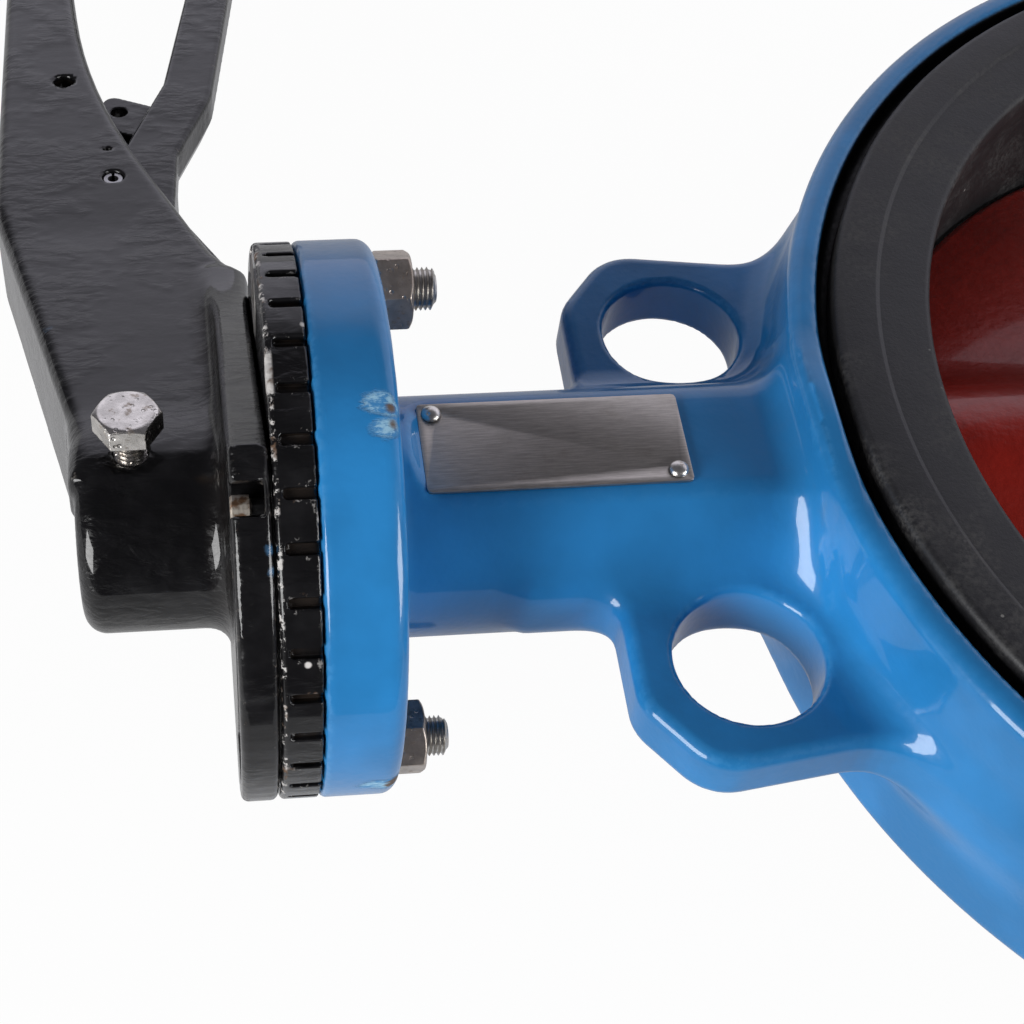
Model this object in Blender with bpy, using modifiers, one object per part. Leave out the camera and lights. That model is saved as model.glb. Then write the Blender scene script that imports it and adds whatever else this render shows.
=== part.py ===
"""Wafer butterfly valve with a notched hand lever.

Metres, +Z along the pipe, the bore's centre at the origin, and the stem along X with the lever at -X.
Every piece that turns with the stem is a child of the empty stem_turn, which lies on the stem's axis
and holds the valve one notch open. In that empty's frame +Y is the way the lever points.
"""

import math

import bmesh
import bpy

GAP = 0.0003                   # clearance between pieces that touch

# Disc
DISC_R = 0.1245
DISC_RIM_HALF = 0.0055
DISC_CENTRE_HALF = 0.0125
HUB_R = 0.024
HUB_WAIST_R = 0.0225

# Rubber liner, which the disc just clears
LINER_HALF = 0.034
LINER_BORE_R = DISC_R + 0.0005
LIP_R = LINER_BORE_R + 0.0212
LIP_BEAD_R = LINER_BORE_R + 0.0100
LIP_STEP = 0.0007

# Cast ring of the body, round the liner
RING_BORE_R = LINER_BORE_R + 0.0142
LIP_SEAT_R = LIP_R + 0.0028
LIP_SEAT_DEPTH = 0.0062
RING_R = LIP_SEAT_R + 0.0050
RING_HALF = 0.0325
RING_ROUND = 0.0035

# Neck and actuator flange
NECK_R = 0.027
NECK_FLARE_R = 0.0315
NECK_FLARE_START = -RING_R - 0.0090
NECK_FLARE_END = -RING_R + 0.0020
FLANGE_FACE = -RING_R - 0.1077
FLANGE_THICK = 0.0169
FLANGE_R = 0.0615
FLANGE_ROUND = 0.0035
BOLT_CIRCLE_R = FLANGE_R - 0.0105
BOLT_HOLE_R = 0.0055
COUNTERBORE_R = 0.0200
COUNTERBORE_DEPTH = 0.0060

# Stem line
SHAFT_R = 0.014
SHAFT_START = 0.0285
SQUARE = 0.020
SQUARE_START = FLANGE_FACE - 0.0088
STEM_END = FLANGE_FACE - 0.0468
STUB_END = RING_R + 0.0020
BUSH_R = 0.0162
PIN_TOP_R = 0.0040
PIN_END_R = 0.0036
UPPER_PIN_PLACES = (-0.042, -0.074)
LOWER_PIN_PLACE = 0.058

# Foot boss opposite the neck
FOOT_R = 0.024
FOOT_END = RING_R + 0.0160

# Lugs, each round a hole for a pipe bolt
LUG_HOLE_X = RING_R + 0.0163
LUG_HOLE_Y = 0.0462
LUG_HOLE_R = 0.0163
LUG_APOTHEM = 0.0254
LUG_HALF = 0.007
LUG_ROUND = 0.002

# Nameplate on the neck's flat
FLAT_Z = 0.0233
FLAT_START = FLANGE_FACE + 0.0217
FLAT_END = -RING_R
PLATE_LENGTH = 0.0575
PLATE_WIDTH = 0.0242
PLATE_THICK = 0.0008
PLATE_MIDDLE = FLANGE_FACE + 0.0539
RIVET_INSET = 0.0030
RIVET_R = 0.0010
RIVET_HEAD_R = 0.0022
RIVET_HEAD_HEIGHT = 0.0012
RIVET_DEPTH = 0.0050

# Notch plate and its fasteners
NOTCH_PLATE_THICK = 0.0084
NOTCH_PLATE_R = FLANGE_R - 0.0001
NOTCH_COUNT = 36
NOTCH_WIDTH = 0.0024
NOTCH_DEPTH = 0.0020
NOTCH_WALL = 0.0018
NOTCH_OFFSET = 1.7             # degrees the plate is set round on the flange
BOLT_R = 0.0050
BOLT_HEAD_R = 0.0095
BOLT_ANGLES = (45.0, 225.0)
BOLT_END = FLANGE_FACE + 0.0303
NUT_FLATS = 0.016
NUT_THICK = 0.0088
NUT_TURNS = (13.7, -11.7)      # degrees each nut was left at when tightened
STOP_PIN_R = 0.0026
STOP_PIN_SHANK_R = 0.0018
STOP_PIN_HEAD = 0.0038
STOP_PIN_CIRCLE_R = FLANGE_R - 0.0120
STOP_PIN_ANGLE = 123.0

# Hand lever, in the frame of stem_turn
REST_OPENING = 8.3             # degrees the disc is open at rest, one notch
LEVER_CLEAR = 0.0004
LEVER_FACE = FLANGE_FACE - GAP - NOTCH_PLATE_THICK - LEVER_CLEAR
BASE_THICK = 0.0080
BASE_R = FLANGE_R
BASE_SPAN = (126.5, 233.5)     # degrees of the base's round edge
SLOT_INNER_R = BASE_R - 0.0150
SLOT_OUTER_R = BASE_R - 0.0045
SLOT_SPAN = (126.0, 217.0)
SLOT_TIP = 117.5
WINDOW_SPAN = (125.0, 132.5)
BOSS_R = 0.0225
BOSS_END = LEVER_FACE - 0.0402
BOSS_ROUND = 0.005
BASE_FILLET = 0.004
ARM_OUTER = LEVER_FACE - 0.0610
ARM_END = 0.352
ARM_GRIP_INNER = LEVER_FACE - 0.0440
ARM_HALF_ROOT = 0.0222
ARM_HALF_BEND = 0.0152
ARM_HALF_END = 0.0136
ARM_EDGE = 0.0034
CHANNEL_HALF = 0.0084
CHANNEL_WALL = 0.0065
CHANNEL_START = 0.036
CHANNEL_END = 0.206
EYE_X = LEVER_FACE - 0.0439
EYE_Y = 0.162
EYE_R = 0.0027

# Clamp bolt across the boss
CLAMP_X = LEVER_FACE - 0.0277
CLAMP_R = 0.0040
CLAMP_FLATS = 0.013
CLAMP_HEAD = 0.0053
CLAMP_LENGTH = 0.0194

# Trigger lever
PIVOT_X = LEVER_FACE - 0.0310
PIVOT_Y = NOTCH_PLATE_R + 0.0523
PIVOT_PIN_R = 0.0024
PIVOT_PIN_WALL = 0.0010
TRIGGER_HALF = 0.0080
TRIGGER_BOSS_R = 0.0080
TRIGGER_END = 0.322
TRIGGER_GRIP_INNER = LEVER_FACE - 0.0007
TRIGGER_GRIP_OUTER = LEVER_FACE + 0.0108
TOOTH_LEFT = FLANGE_FACE - 0.0043
TOOTH_RIGHT = FLANGE_FACE - 0.0023
TOOTH_HALF = 0.0009
TOOTH_CLEAR = 0.00035          # tip above the notch plate's rim with the trigger as drawn
TOOTH_HEIGHT = 0.0019
TAB_HALF = 0.0025
TAB_HOLE_X = PIVOT_X + 0.0018
TAB_HOLE_Y = PIVOT_Y + 0.0518
TAB_HOLE_R = 0.0022

# Return spring between the arm's channel and the trigger
SPRING_Y = PIVOT_Y + 0.0213
SPRING_R = 0.0030
SPRING_WIRE_R = 0.0006
SPRING_TURNS = 7

RING_STEPS = 80
ROUND_STEPS = 40
SMALL_STEPS = 20


# Small tools

def make_collection(name):
    group = bpy.data.collections.new(name)
    bpy.context.scene.collection.children.link(group)
    return group


def make_material(name, colour, roughness, metallic):
    material = bpy.data.materials.new(name)
    material.use_nodes = True
    shader = material.node_tree.nodes["Principled BSDF"]
    shader.inputs["Base Color"].default_value = (*colour, 1.0)
    shader.inputs["Roughness"].default_value = roughness
    shader.inputs["Metallic"].default_value = metallic
    material.diffuse_color = (*colour, 1.0)
    return material


def polar(radius, degrees):
    return radius * math.cos(math.radians(degrees)), radius * math.sin(math.radians(degrees))


def arc(centre, radius, start, end, count):
    """Points along an arc in degrees, ends included."""
    points = []
    for step in range(count + 1):
        across, up = polar(radius, start + (end - start) * step / count)
        points.append((centre[0] + across, centre[1] + up))
    return points


def rounded(corners, steps=4):
    """An outline from (x, y, radius) corners, each with radius rounded by an arc of a few steps."""
    points = []
    count = len(corners)
    for place, (x, y, radius) in enumerate(corners):
        if radius <= 0:
            points.append((x, y))
            continue
        before = corners[place - 1]
        after = corners[(place + 1) % count]
        back = (before[0] - x, before[1] - y)
        on = (after[0] - x, after[1] - y)
        back_length = math.hypot(*back)
        on_length = math.hypot(*on)
        back = (back[0] / back_length, back[1] / back_length)
        on = (on[0] / on_length, on[1] / on_length)
        half = math.acos(max(-1.0, min(1.0, back[0] * on[0] + back[1] * on[1]))) / 2
        reach = min(radius / math.tan(half), 0.48 * back_length, 0.48 * on_length)
        radius = reach * math.tan(half)
        middle = (back[0] + on[0], back[1] + on[1])
        middle_length = math.hypot(*middle)
        to_centre = radius / math.sin(half) / middle_length
        centre = (x + middle[0] * to_centre, y + middle[1] * to_centre)
        start = math.atan2(y + back[1] * reach - centre[1], x + back[0] * reach - centre[0])
        sweep = math.atan2(y + on[1] * reach - centre[1], x + on[0] * reach - centre[0]) - start
        sweep = (sweep + math.pi) % (2 * math.pi) - math.pi
        for step in range(steps + 1):
            angle = start + sweep * step / steps
            points.append((centre[0] + radius * math.cos(angle), centre[1] + radius * math.sin(angle)))
    return points


class Workshop:
    """Makes the objects of one collection, each with its material and parent."""

    def __init__(self, parts, tools):
        self.parts = parts
        self.tools = tools

    def place(self, name, mesh, material=None, parent=None):
        item = bpy.data.objects.new(name, mesh)
        item.parent = parent
        if material is None:
            self.tools.objects.link(item)
            item.hide_render = True
            item.display_type = "WIRE"
        else:
            self.parts.objects.link(item)
            mesh.materials.append(material)
        return item

    def from_bmesh(self, name, shape, material, parent):
        bmesh.ops.remove_doubles(shape, verts=shape.verts, dist=0.000002)
        bmesh.ops.recalc_face_normals(shape, faces=shape.faces)
        mesh = bpy.data.meshes.new(name)
        shape.to_mesh(mesh)
        shape.free()
        mesh.shade_smooth()
        mesh.set_sharp_from_angle(angle=math.radians(35))
        return self.place(name, mesh, material, parent)

    def evaluated(self, item):
        """A bmesh of an object as its modifiers or its curve make it, and the object is removed."""
        bpy.context.scene.collection.objects.link(item)
        graph = bpy.context.evaluated_depsgraph_get()
        mesh = bpy.data.meshes.new_from_object(item.evaluated_get(graph))
        shape = bmesh.new()
        shape.from_mesh(mesh)
        data = item.data
        bpy.data.objects.remove(item)
        bpy.data.batch_remove([data, mesh])
        return shape

    def turned(self, name, profile, axis="Z", steps=ROUND_STEPS, material=None, parent=None,
               centre=(0.0, 0.0)):
        """A closed profile of (radius, along) points turned round an axis through centre."""
        mesh = bpy.data.meshes.new(name)
        points = [(radius, 0.0, along) for radius, along in profile]
        edges = [(place, place + 1) for place in range(len(points) - 1)]
        if profile[0][0] > 0.0:
            edges.append((len(points) - 1, 0))
        mesh.from_pydata(points, edges, [])
        item = bpy.data.objects.new(name, mesh)
        screw = item.modifiers.new("Turn", "SCREW")
        screw.axis = "Z"
        screw.steps = steps
        screw.render_steps = steps
        screw.use_merge_vertices = True
        screw.merge_threshold = 0.000002
        shape = self.evaluated(item)
        for vert in shape.verts:
            x, y, z = vert.co
            if axis == "X":
                vert.co = (z, x + centre[0], y + centre[1])
            elif axis == "Z":
                vert.co = (x + centre[0], y + centre[1], z)
        return self.from_bmesh(name, shape, material, parent)

    def prism(self, name, outline, low, high, plane="XY", edge=0.0, material=None, parent=None):
        """A flat outline drawn as a 2D curve and extruded from low to high across its plane."""
        curve = bpy.data.curves.new(name, "CURVE")
        curve.dimensions = "2D"
        curve.fill_mode = "BOTH"
        curve.extrude = (high - low) / 2 - edge
        curve.bevel_depth = edge
        curve.offset = -edge
        curve.bevel_resolution = 1
        spline = curve.splines.new("POLY")
        spline.points.add(len(outline) - 1)
        for point, (x, y) in zip(spline.points, outline):
            point.co = (x, y, 0.0, 1.0)
        spline.use_cyclic_u = True
        shape = self.evaluated(bpy.data.objects.new(name, curve))
        middle = (high + low) / 2
        for vert in shape.verts:
            x, y, z = vert.co
            if plane == "XY":
                vert.co = (x, y, z + middle)
            elif plane == "YZ":
                vert.co = (z + middle, x, y)
        return self.from_bmesh(name, shape, material, parent)

    def box(self, name, low, high, material=None, parent=None):
        shape = bmesh.new()
        bmesh.ops.create_cube(shape, size=1.0)
        for vert in shape.verts:
            for axis in range(3):
                middle = (low[axis] + high[axis]) / 2
                vert.co[axis] = middle + vert.co[axis] * (high[axis] - low[axis])
        return self.from_bmesh(name, shape, material, parent)

    def rod(self, name, radius, low, high, axis, centre, sides=SMALL_STEPS, end_radius=None,
            material=None, parent=None):
        """A cylinder or cone from low to high along an axis; centre holds the other two places."""
        shape = bmesh.new()
        bmesh.ops.create_cone(shape, cap_ends=True, segments=sides, radius1=radius,
                              radius2=radius if end_radius is None else end_radius, depth=high - low)
        middle = (low + high) / 2
        for vert in shape.verts:
            x, y, z = vert.co
            if axis == "X":
                vert.co = (z + middle, x + centre[0], y + centre[1])
            elif axis == "Z":
                vert.co = (x + centre[0], y + centre[1], z + middle)
        return self.from_bmesh(name, shape, material, parent)


def boolean(part, tool, operation):
    change = part.modifiers.new(tool.name, "BOOLEAN")
    change.operation = operation
    change.solver = "EXACT"
    change.object = tool


def cut(part, *tools):
    for tool in tools:
        boolean(part, tool, "DIFFERENCE")


def join(part, *tools):
    for tool in tools:
        boolean(part, tool, "UNION")


def keep_inside(part, tool):
    boolean(part, tool, "INTERSECT")


def merged(shop, name, tools):
    """One cutter from several that don't touch each other."""
    shape = bmesh.new()
    for tool in tools:
        shape.from_mesh(tool.data)
    parent = tools[0].parent
    for tool in tools:
        mesh = tool.data
        bpy.data.objects.remove(tool)
        bpy.data.meshes.remove(mesh)
    return shop.from_bmesh(name, shape, None, parent)


def hexagon(flats, turn=0.0):
    return [polar(flats / math.sqrt(3), 60 * corner + turn) for corner in range(6)]


def move_origin(item, x, y, z):
    """Puts an object's origin on its own joint without moving its mesh."""
    for vert in item.data.vertices:
        vert.co.x -= x
        vert.co.y -= y
        vert.co.z -= z
    item.location = (x, y, z)


# Body

def lug_outline(side):
    """Half outline of a lug pair, from the ring out round the hole; side is -1 at the neck."""
    far_y = LUG_HOLE_Y + LUG_APOTHEM
    far_x = LUG_HOLE_X + LUG_APOTHEM
    corner = LUG_APOTHEM * 0.42
    half = [
        (RING_BORE_R * 0.79, RING_BORE_R * 0.733, 0.0),
        (LUG_HOLE_X - 0.0278, far_y - 0.0061, 0.016),
        (far_x - 1.25 * corner, far_y, 0.007),
        (far_x, far_y - 1.6 * corner, 0.010),
    ]
    if side < 0:
        half += [(far_x, NECK_R - 0.0008, 0.008), (far_x + 0.018, NECK_R - 0.0008, 0.0)]
    else:
        half += [(far_x, LUG_HOLE_Y - 0.0165, 0.006), (FOOT_END - 0.004, FOOT_R - 0.001, 0.0)]
    outline = [(side * x, y, radius) for x, y, radius in half]
    outline += [(x, -y, radius) for x, y, radius in reversed(outline)]
    return rounded(outline)


def flare(radius, start, end, out, steps=4):
    """Profile of a concave flare from radius at start to out at end, along the stem's axis."""
    points = []
    for step in range(steps + 1):
        turn = math.radians(90 * step / steps)
        points.append((out - (out - radius) * math.cos(turn), start + (end - start) * math.sin(turn)))
    return points


def make_body(shop, material):
    ring = [(RING_BORE_R - 0.004, RING_HALF)]
    ring += [(x, y) for x, y in arc((RING_R - RING_ROUND, RING_HALF - RING_ROUND), RING_ROUND, 90, 0, 3)]
    ring += [(x, -y) for x, y in reversed(ring)]
    body = shop.turned("valve_body", ring, steps=RING_STEPS, material=material)

    back = FLANGE_FACE + FLANGE_THICK
    neck = [(0.0, FLANGE_FACE), (FLANGE_R - 0.0008, FLANGE_FACE), (FLANGE_R, FLANGE_FACE + 0.0008)]
    neck += [(r, x) for x, r in arc((back - FLANGE_ROUND, FLANGE_R - FLANGE_ROUND), FLANGE_ROUND, 90, 0, 3)]
    neck += [(NECK_R + 0.004 - 0.004 * math.sin(math.radians(turn)),
              back + 0.004 - 0.004 * math.cos(math.radians(turn))) for turn in (0, 30, 60, 90)]
    neck += flare(NECK_R, NECK_FLARE_START, NECK_FLARE_END, NECK_FLARE_R)
    neck += [(NECK_FLARE_R, -RING_BORE_R - 0.002), (0.0, -RING_BORE_R - 0.002)]
    foot = [(0.0, RING_BORE_R + 0.002), (FOOT_R + 0.004, RING_BORE_R + 0.002)]
    foot += [(FOOT_R + 0.004, RING_R - 0.001), (FOOT_R + 0.0012, RING_R + 0.0016), (FOOT_R, RING_R + 0.005)]
    foot += [(FOOT_R, FOOT_END - 0.002), (FOOT_R - 0.002, FOOT_END), (0.0, FOOT_END)]
    join(body, shop.turned("neck_and_flange", neck, axis="X", steps=44),
         shop.turned("foot_boss", foot, axis="X", steps=32),
         shop.prism("neck_lugs", lug_outline(-1), -LUG_HALF, LUG_HALF, edge=LUG_ROUND),
         shop.prism("foot_lugs", lug_outline(1), -LUG_HALF, LUG_HALF, edge=LUG_ROUND))

    seat = LIP_SEAT_DEPTH - RING_HALF
    past = LINER_HALF + 0.006
    spool = [(0.0, past), (LIP_SEAT_R, past), (LIP_SEAT_R, -seat), (RING_BORE_R, -seat)]
    spool += [(radius, -along) for radius, along in reversed(spool)]
    lug_holes = [shop.rod("lug_hole", LUG_HOLE_R, -0.02, 0.02, "Z", (x, y), sides=32)
                 for x in (-LUG_HOLE_X, LUG_HOLE_X) for y in (-LUG_HOLE_Y, LUG_HOLE_Y)]
    bolt_holes = [shop.rod("bolt_hole", BOLT_HOLE_R, FLANGE_FACE - 0.01, back + 0.01, "X",
                           polar(BOLT_CIRCLE_R, angle)) for angle in (45, 135, 225, 315)]
    floor = FLANGE_FACE + COUNTERBORE_DEPTH
    bore = [(0.0, FLANGE_FACE - 0.01), (COUNTERBORE_R, FLANGE_FACE - 0.01), (COUNTERBORE_R, floor)]
    bore += [(BUSH_R + GAP, floor), (BUSH_R + GAP, -RING_BORE_R + 0.006), (0.0, -RING_BORE_R + 0.006)]
    rivet_holes = [shop.rod("rivet_hole", RIVET_R + GAP, FLAT_Z - RIVET_DEPTH - 0.001, FLAT_Z + 0.01,
                            "Z", place, sides=12) for place in rivet_places()]
    cut(body, shop.turned("liner_seat", spool, steps=RING_STEPS),
        merged(shop, "lug_holes", lug_holes),
        merged(shop, "flange_bolt_holes", bolt_holes),
        shop.turned("stem_bore", bore, axis="X", steps=32),
        shop.rod("foot_bore", BUSH_R + GAP, RING_BORE_R - 0.006, FOOT_END + 0.01, "X", (0, 0), sides=32),
        shop.box("nameplate_flat", (FLAT_START, -0.74 * NECK_R, FLAT_Z),
                 (FLAT_END, 0.74 * NECK_R, NECK_R + 0.03)),
        merged(shop, "rivet_holes", rivet_holes))
    return body


def make_liner(shop, material):
    lip_top = RING_HALF - LIP_SEAT_DEPTH + GAP
    half = [
        (LINER_BORE_R, LINER_HALF - 0.0035),
        (LINER_BORE_R + 0.0025, LINER_HALF - LIP_STEP),
        (LIP_BEAD_R - 0.0008, LINER_HALF - LIP_STEP),
        (LIP_BEAD_R, LINER_HALF),
        (LIP_R - 0.0015, LINER_HALF),
        (LIP_R, LINER_HALF - 0.0015),
        (LIP_R, lip_top),
        (RING_BORE_R - GAP, lip_top),
    ]
    profile = half + [(radius, -along) for radius, along in reversed(half)]
    liner = shop.turned("liner", profile, steps=RING_STEPS, material=material)
    cut(liner, shop.rod("liner_stem_hole", SHAFT_R + GAP, -RING_R, RING_R, "X", (0, 0), sides=32))
    return liner


# Disc and its shafts

def make_disc(shop, material, parent):
    web = [(0.0, DISC_CENTRE_HALF), (0.5 * DISC_R, DISC_CENTRE_HALF - 0.001),
           (0.9 * DISC_R, DISC_RIM_HALF + 0.0015)]
    edge = math.degrees(math.asin(DISC_RIM_HALF / DISC_R))
    web += arc((0.0, 0.0), DISC_R, edge, -edge, 2)
    web += [(radius, -along) for radius, along in reversed(web[:3])]
    disc = shop.turned("disc", web, steps=72, material=material, parent=parent)
    hub_turn = math.degrees(math.asin(HUB_R / DISC_R))
    hub = [(r, -x) for x, r in arc((0.0, 0.0), DISC_R, 0, hub_turn, 4)]
    hub += [(HUB_R, 0.0265 - DISC_R), (HUB_WAIST_R, 0.0395 - DISC_R)]
    hub += [(radius, -along) for radius, along in reversed(hub)]
    join(disc, shop.turned("disc_hub", hub, axis="X", steps=36, parent=parent))
    bores = [shop.rod("hub_bore", SHAFT_R + GAP, low, high, "X", (0, 0), sides=32, parent=parent)
             for low, high in ((-RING_R, -SHAFT_START + GAP), (SHAFT_START - GAP, RING_R))]
    cut(disc, merged(shop, "hub_bores", bores),
        merged(shop, "disc_pin_holes", taper_holes(shop, parent)))
    return disc


def taper_holes(shop, parent):
    return [shop.rod("pin_hole", PIN_END_R + GAP, -0.04, 0.04, "Z", (x, 0.0), sides=16,
                     end_radius=PIN_TOP_R + GAP, parent=parent)
            for x in (*UPPER_PIN_PLACES, LOWER_PIN_PLACE)]


def make_taper_pins(shop, material, parent):
    half = HUB_WAIST_R - 0.0008
    names = ("upper_taper_pin_inner", "upper_taper_pin_outer", "lower_taper_pin")
    for name, x in zip(names, (*UPPER_PIN_PLACES, LOWER_PIN_PLACE)):
        slope = (PIN_TOP_R - PIN_END_R) / 0.08
        middle_r = (PIN_TOP_R + PIN_END_R) / 2
        shop.rod(name, middle_r - slope * half, -half, half, "Z", (x, 0.0), sides=16,
                 end_radius=middle_r + slope * half, material=material, parent=parent)


def make_stem(shop, material, parent):
    groove = circlip_place()
    profile = [(0.0, -SHAFT_START), (SHAFT_R - 0.001, -SHAFT_START), (SHAFT_R, -SHAFT_START - 0.001)]
    profile += [(SHAFT_R, groove + 0.0009), (SHAFT_R - 0.0013, groove + 0.0009)]
    profile += [(SHAFT_R - 0.0013, groove - 0.0009), (SHAFT_R, groove - 0.0009)]
    profile += [(SHAFT_R, STEM_END + 0.001), (SHAFT_R - 0.001, STEM_END), (0.0, STEM_END)]
    stem = shop.turned("stem", profile, axis="X", steps=32, material=material, parent=parent)
    flats = []
    for turn in range(4):
        flat = shop.box("stem_flat", (STEM_END - 0.01, SQUARE / 2, -0.03), (SQUARE_START, 0.03, 0.03),
                        parent=parent)
        for vert in flat.data.vertices:
            for _ in range(turn):
                vert.co = (vert.co.x, -vert.co.z, vert.co.y)
        flats.append(flat)
    cut(stem, *flats)
    cut(stem, merged(shop, "stem_pin_holes", taper_holes(shop, parent)[:2]))
    return stem


def make_stub(shop, material, parent):
    profile = [(0.0, STUB_END), (SHAFT_R - 0.001, STUB_END), (SHAFT_R, STUB_END - 0.001)]
    profile += [(SHAFT_R, SHAFT_START + 0.001), (SHAFT_R - 0.001, SHAFT_START), (0.0, SHAFT_START)]
    stub = shop.turned("stub_shaft", profile, axis="X", steps=32, material=material, parent=parent)
    cut(stub, merged(shop, "stub_pin_hole", taper_holes(shop, parent)[2:]))
    return stub


def circlip_place():
    return FLANGE_FACE + 0.0040


def sleeve(inner, outer, low, high):
    return [(outer, high), (outer, low), (inner, low), (inner, high)]


def make_bushes(shop, material):
    inner = SHAFT_R + GAP
    shop.turned("upper_bush", sleeve(inner, BUSH_R, FLANGE_FACE + 0.0063, FLANGE_FACE + 0.0347),
                axis="X", steps=32, material=material)
    shop.turned("middle_bush", sleeve(inner, BUSH_R, -RING_R - 0.0195, 0.0105 - RING_R), axis="X", steps=32,
                material=material)
    shop.turned("lower_bush", sleeve(inner, BUSH_R, RING_R - 0.0110, STUB_END), axis="X", steps=32,
                material=material)


def make_seals(shop, material):
    for name, x in (("stem_o_ring_inner", -RING_R - 0.0211), ("stem_o_ring_outer", -RING_R - 0.0238)):
        centre_r = SHAFT_R + (BUSH_R + GAP - SHAFT_R) / 2
        minor = (BUSH_R + GAP - SHAFT_R) / 2 - GAP / 2
        profile = [(centre_r + r, x + along) for along, r in arc((0.0, 0.0), minor, 0, 300, 5)]
        shop.turned(name, profile, axis="X", steps=24, material=material)


def make_circlip(shop, material):
    x = circlip_place()
    inner = SHAFT_R - 0.0013 + GAP
    clip = shop.turned("stem_circlip", sleeve(inner, SHAFT_R + 0.004, x - 0.0006, x + 0.0006), axis="X",
                       steps=32, material=material)
    cut(clip, shop.box("circlip_gap", (x - 0.002, -0.0035, 0.0), (x + 0.002, 0.0035, 0.03)))


def make_plug(shop, material):
    low = STUB_END + GAP
    high = FOOT_END - 0.0015
    profile = [(0.0, low), (BUSH_R, low), (BUSH_R, high - 0.001), (BUSH_R - 0.001, high), (0.0, high)]
    plug = shop.turned("foot_plug", profile, axis="X", steps=32, material=material)
    cut(plug, shop.prism("plug_socket", hexagon(0.014), high - 0.006, high + 0.01, plane="YZ"))


# Nameplate

def rivet_places():
    across = PLATE_WIDTH / 2 - RIVET_INSET
    along = PLATE_LENGTH / 2 - RIVET_INSET
    return [(PLATE_MIDDLE - along, across), (PLATE_MIDDLE + along, -across)]


def make_nameplate(shop, material, rivet_material):
    half = PLATE_LENGTH / 2
    side = PLATE_WIDTH / 2
    corners = [(PLATE_MIDDLE - half, -side, 0.001), (PLATE_MIDDLE + half, -side, 0.001),
               (PLATE_MIDDLE + half, side, 0.001), (PLATE_MIDDLE - half, side, 0.001)]
    low = FLAT_Z + GAP
    top = low + PLATE_THICK
    plate = shop.prism("nameplate", rounded(corners, 2), low, top, material=material)
    holes = [shop.rod("plate_hole", RIVET_R + GAP, low - 0.01, top + 0.01, "Z", place, sides=12)
             for place in rivet_places()]
    cut(plate, merged(shop, "plate_rivet_holes", holes))
    for name, place in zip(("nameplate_rivet_outer", "nameplate_rivet_inner"), rivet_places()):
        seat = top + GAP
        profile = [(0.0, FLAT_Z - RIVET_DEPTH), (RIVET_R, FLAT_Z - RIVET_DEPTH), (RIVET_R, seat)]
        for turn in (0, 25, 50, 75):
            across, up = polar(1.0, turn)
            profile.append((RIVET_HEAD_R * across, seat + RIVET_HEAD_HEIGHT * up))
        profile.append((0.0, seat + RIVET_HEAD_HEIGHT))
        shop.turned(name, profile, steps=12, material=rivet_material, centre=place)


# Notch plate and its fasteners

def make_notch_plate(shop, material):
    face = FLANGE_FACE - GAP
    left = face - NOTCH_PLATE_THICK
    profile = [(0.0, face), (NOTCH_PLATE_R, face), (NOTCH_PLATE_R, left + 0.001),
               (NOTCH_PLATE_R - 0.001, left), (0.0, left)]
    plate = shop.turned("notch_plate", profile, axis="X", steps=72, material=material)
    notches = []
    for number in range(NOTCH_COUNT):
        notch = shop.box("notch", (left + NOTCH_WALL, NOTCH_PLATE_R - NOTCH_DEPTH, -NOTCH_WIDTH / 2),
                         (face + 0.002, NOTCH_PLATE_R + 0.004, NOTCH_WIDTH / 2))
        turn = math.radians(360 / NOTCH_COUNT * number + NOTCH_OFFSET)
        for vert in notch.data.vertices:
            x, y, z = vert.co
            vert.co = (x, y * math.cos(turn) - z * math.sin(turn), y * math.sin(turn) + z * math.cos(turn))
        notches.append(notch)
    holes = [shop.rod("stem_hole", SHAFT_R + GAP, left - 0.01, face + 0.01, "X", (0, 0), sides=32),
             shop.rod("pin_seat", STOP_PIN_SHANK_R + GAP, left - 0.01, face - 0.0015, "X",
                      polar(STOP_PIN_CIRCLE_R, STOP_PIN_ANGLE))]
    sinks = [shop.turned("bolt_sink", bolt_head(GAP, left - 0.001, face + 0.01), axis="X", steps=24,
                         centre=polar(BOLT_CIRCLE_R, angle)) for angle in BOLT_ANGLES]
    cut(plate, merged(shop, "notches", notches), merged(shop, "plate_holes", holes + sinks))


def bolt_head(clearance, start, end):
    """Profile of a countersunk bolt along X, from start inside its head to end."""
    left = FLANGE_FACE - GAP - NOTCH_PLATE_THICK
    rim = BOLT_HEAD_R + clearance
    shank = BOLT_R + clearance
    return [(0.0, start), (rim, start), (rim, left + 0.0006), (shank, left + 0.0006 + rim - shank),
            (shank, end), (0.0, end)]


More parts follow.
